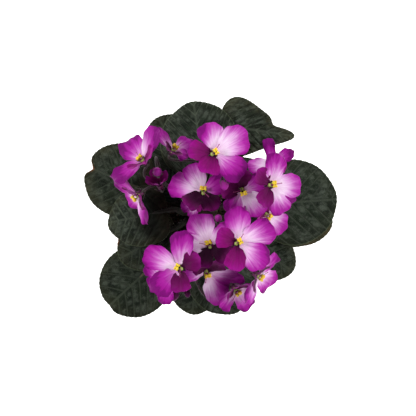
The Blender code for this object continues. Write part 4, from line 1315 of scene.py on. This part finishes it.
def make_stalk(stalk, skin, sepal):
    """A peduncle that forks into the pedicels of its flowers and buds, each with its sepals."""
    azimuth, out = stalk.foot
    foot = compass(azimuth) * out + np.array((0, 0, CROWN_TOP + GAP))
    start = foot + np.array((0, 0, STEM_FOOT))
    fork = np.array(stalk.fork, float)
    span = np.linalg.norm(fork - start)
    arrive = fork - compass(azimuth, 45) * span * 0.35
    main = [foot] + bezier(start, start + np.array((0, 0, span * 0.3)), arrive, fork, 18)
    shape = Shape()
    swell = [PEDUNCLE_RADIUS * (1.15 - 0.15 * min(1, i / 4)) for i in range(len(main))]
    add_tube(shape, main, swell, 12, bears=np.full(len(main), 1.0))
    add_egg(shape, fork, tuple(axis * FORK_RADIUS for axis in WORLD_AXES), 14, 9, bears=np.full(8, 1.0))
    carried = {item.name: item for item in FLOWERS + BUDS}
    for name in stalk.carries.split():
        item = carried[name]
        is_flower = name.startswith("flower")
        axes = facing(item.lean, item.tilt)
        face = axes[2]
        end = np.asarray(item.at, float) - face * ((TUBE_LENGTH if is_flower else item.size / 2) + GAP)
        reach = np.linalg.norm(end - fork)
        calyx_start = end - face * CALYX_LENGTH
        root = fork - unit(calyx_start - fork) * 0.5
        bow = np.array(item.bow, float)
        leave = root + bow + np.array((0, 0, reach * 0.3))
        path = bezier(root, leave, calyx_start + bow - face * reach * 0.3, calyx_start, 16)
        wide = 1.9 if is_flower else 1.2
        path += [calyx_start + face * CALYX_LENGTH * 0.5, end - face * 0.35, end]
        radii = [PEDICEL_RADIUS] * 16 + [PEDICEL_RADIUS * 1.15, wide * 0.8, wide, wide * 0.7]
        add_tube(shape, path, radii, 10, bears=np.full(len(path), 1.0))
        if is_flower:
            add_sepals(shape, end, axes, 2.9, 4.6, 3.2)
        else:
            add_sepals(shape, end, axes, 0.42 * item.size, 0.40 * item.size, 0.5 * item.size)
    for i in range(2):
        heading = azimuth + 90 + 180 * i
        tip = fork + compass(heading, 25) * BRACT_LENGTH
        out = compass(heading)
        spine = bezier(fork + out * 1.2, fork + compass(heading, 40) * 2.5, tip - out * 2, tip, 8)
        widths = [0.6, 0.9, 1.1, 1.2, 1.1, 0.9, 0.6, 0.3, 0.08]
        add_ribbon(shape, spine, compass(heading + 90), widths, 0.35, 0.2, finish=1, bears=np.full(9, 1.0))
    mesh = make_mesh(stalk.name, shape, [skin, sepal])
    settle(stalk.name, mesh, "flower_stalk", stalk.name)
    return mesh


def joined(meshes):
    """One mesh of all of these, kept only as a surface for things to grow on."""
    bm = bmesh.new()
    for mesh in meshes:
        bm.from_mesh(mesh)
    whole = bpy.data.meshes.new("joined")
    bm.to_mesh(whole)
    bm.free()
    return whole


# ---- the plant ----

make_pot(pot_material())
make_soil(
    grainy_material("potting_mix", (0.014, 0.009, 0.006), (0.045, 0.028, 0.018), 0.95, 1400.0,
                    strength=0.9),
    grainy_material("bark_crumb", (0.05, 0.026, 0.014), (0.13, 0.07, 0.035), 0.9, 1100.0, strength=0.7),
    grainy_material("grit_grain", (0.45, 0.43, 0.39), (0.70, 0.68, 0.63), 0.85, 1600.0, strength=0.6),
)
make_crown(
    grainy_material("crown_bark", (0.035, 0.022, 0.013), (0.09, 0.075, 0.035), 0.8, 900.0,
                    strength=0.8, height=0.0004),
    grainy_material("young_leaf", (0.03, 0.06, 0.02), (0.07, 0.12, 0.04), 0.6, 1500.0,
                    {"Sheen Weight": 0.4}),
)

blade_finish, petiole_finish = leaf_blade_material(), petiole_material()
leaf_meshes = [make_leaf(leaf, blade_finish, petiole_finish) for leaf in LEAVES]

petal_finish, throat_finish = petal_material(), throat_material()
anther_finish = grainy_material("anther", (0.78, 0.50, 0.012), (0.93, 0.75, 0.06), 0.6, 2600.0,
                                {"Subsurface Weight": 0.1, "Subsurface Scale": 0.0008}, strength=0.5)
ovary_finish = grainy_material("ovary", (0.26, 0.33, 0.06), (0.45, 0.50, 0.14), 0.55, 2400.0)
style_finish = grainy_material("style", (0.22, 0.01, 0.10), (0.36, 0.03, 0.20), 0.45, 2400.0)
for flower in FLOWERS:
    make_flower(flower, petal_finish, throat_finish)
    if flower.open:
        make_stamens(flower, anther_finish, ovary_finish, style_finish)

bud_finish = bud_material()
for bud in BUDS:
    make_bud(bud, bud_finish)

stalk_finish = grainy_material("stalk_skin", (0.02, 0.006, 0.013), (0.055, 0.022, 0.024), 0.5, 1800.0,
                               {**LIVING, "Sheen Weight": 0.06})
sepal_finish = grainy_material("sepal", (0.02, 0.018, 0.012), (0.055, 0.03, 0.028), 0.55, 1600.0,
                               {"Sheen Weight": 0.08})
stalk_meshes = [make_stalk(stalk, stalk_finish, sepal_finish) for stalk in STALKS]

hair_settings = {"Specular IOR Level": 0.15}
silver_hair = plain_material("hair_silver", (0.13, 0.16, 0.12), 0.4, hair_settings)
green_hair = plain_material("hair_green", (0.018, 0.028, 0.017), 0.45, hair_settings)
rosy_hair = plain_material("hair_rosy", (0.14, 0.07, 0.09), 0.4, hair_settings)
hairs = hair_growth()
leaf_hairs = hairs.grow("leaf_hairs", joined(leaf_meshes), LEAF_HAIRS, green_hair, silver_hair)
settle("leaf_hairs", leaf_hairs, "leaf")
stalk_hairs = hairs.grow("stalk_hairs", joined(stalk_meshes), STALK_HAIRS, rosy_hair, silver_hair)
settle("stalk_hairs", stalk_hairs, "flower_stalk")


# ---- floor, light and camera ----

FLOOR_HALF = 1.5
FLOOR_LEVEL = -0.0002
CAMERA_PLACE = (0.00207, 0.00276, 1.3)
SENSOR_WIDTH = 36.0
VIEW_WIDTH = 0.28704  # how much the camera sees across, at the flowers
VIEW_DISTANCE = 1.2
SKY_LIGHT = 0.12
# name, place, height of the point on the plant's axis that it faces, width, energy
LAMPS = (
    ("left_lamp", (-1.0, 0.3, 0.8), 0.1, 0.5, 10.5),
    ("right_lamp", (1.0, 0.1, 0.8), 0.1, 0.5, 10.0),
    ("front_lamp", (0.1, -1.0, 0.75), 0.08, 0.6, 5.0),
    ("back_lamp", (-0.1, 1.0, 0.8), 0.1, 0.5, 5.0),
)


def make_floor():
    mesh = bpy.data.meshes.new("floor")
    ends = ((-1, -1), (1, -1), (1, 1), (-1, 1))
    corners = [(x * FLOOR_HALF, y * FLOOR_HALF, FLOOR_LEVEL) for x, y in ends]
    mesh.from_pydata(corners, [], [(0, 1, 2, 3)])
    settings = {"Emission Strength": 0.9, "Emission Color": (1, 1, 1, 1), "Specular IOR Level": 0.1}
    material, w, shader = new_material("floor_paper", settings)
    grain = w.noise(w.place(), 40.0, 3.0, 0.5)
    w.feed(shader["Base Color"], w.mix(grain, (0.84, 0.84, 0.84), (0.88, 0.88, 0.88)))
    shader["Roughness"].default_value = 0.9
    mesh.materials.append(material)
    place("floor", mesh)


def add_lamp(name, at, aim_height, size, energy):
    """A round lamp, turned to a point on the plant's axis."""
    lamp = bpy.data.lights.new(name, "AREA")
    lamp.shape = "DISK"
    lamp.size = size
    lamp.energy = energy
    holder = place(name, lamp)
    holder.location = at
    holder.rotation_mode = "QUATERNION"
    holder.rotation_quaternion = (Vector((0, 0, aim_height)) - Vector(at)).to_track_quat("-Z", "Y")


def make_studio():
    scene = bpy.context.scene
    world = bpy.data.worlds.new("studio")
    world.use_nodes = True
    background = world.node_tree.nodes["Background"]
    background.inputs["Color"].default_value = (1.0, 1.0, 1.0, 1.0)
    background.inputs["Strength"].default_value = SKY_LIGHT
    scene.world = world
    scene.view_settings.view_transform = "Standard"
    for lamp in LAMPS:
        add_lamp(*lamp)
    camera = bpy.data.cameras.new("camera")
    camera.sensor_width = SENSOR_WIDTH
    camera.lens = SENSOR_WIDTH * VIEW_DISTANCE / VIEW_WIDTH
    camera.clip_start = 0.01
    holder = place("camera", camera)
    holder.location = CAMERA_PLACE
    scene.camera = holder


make_floor()
make_studio()
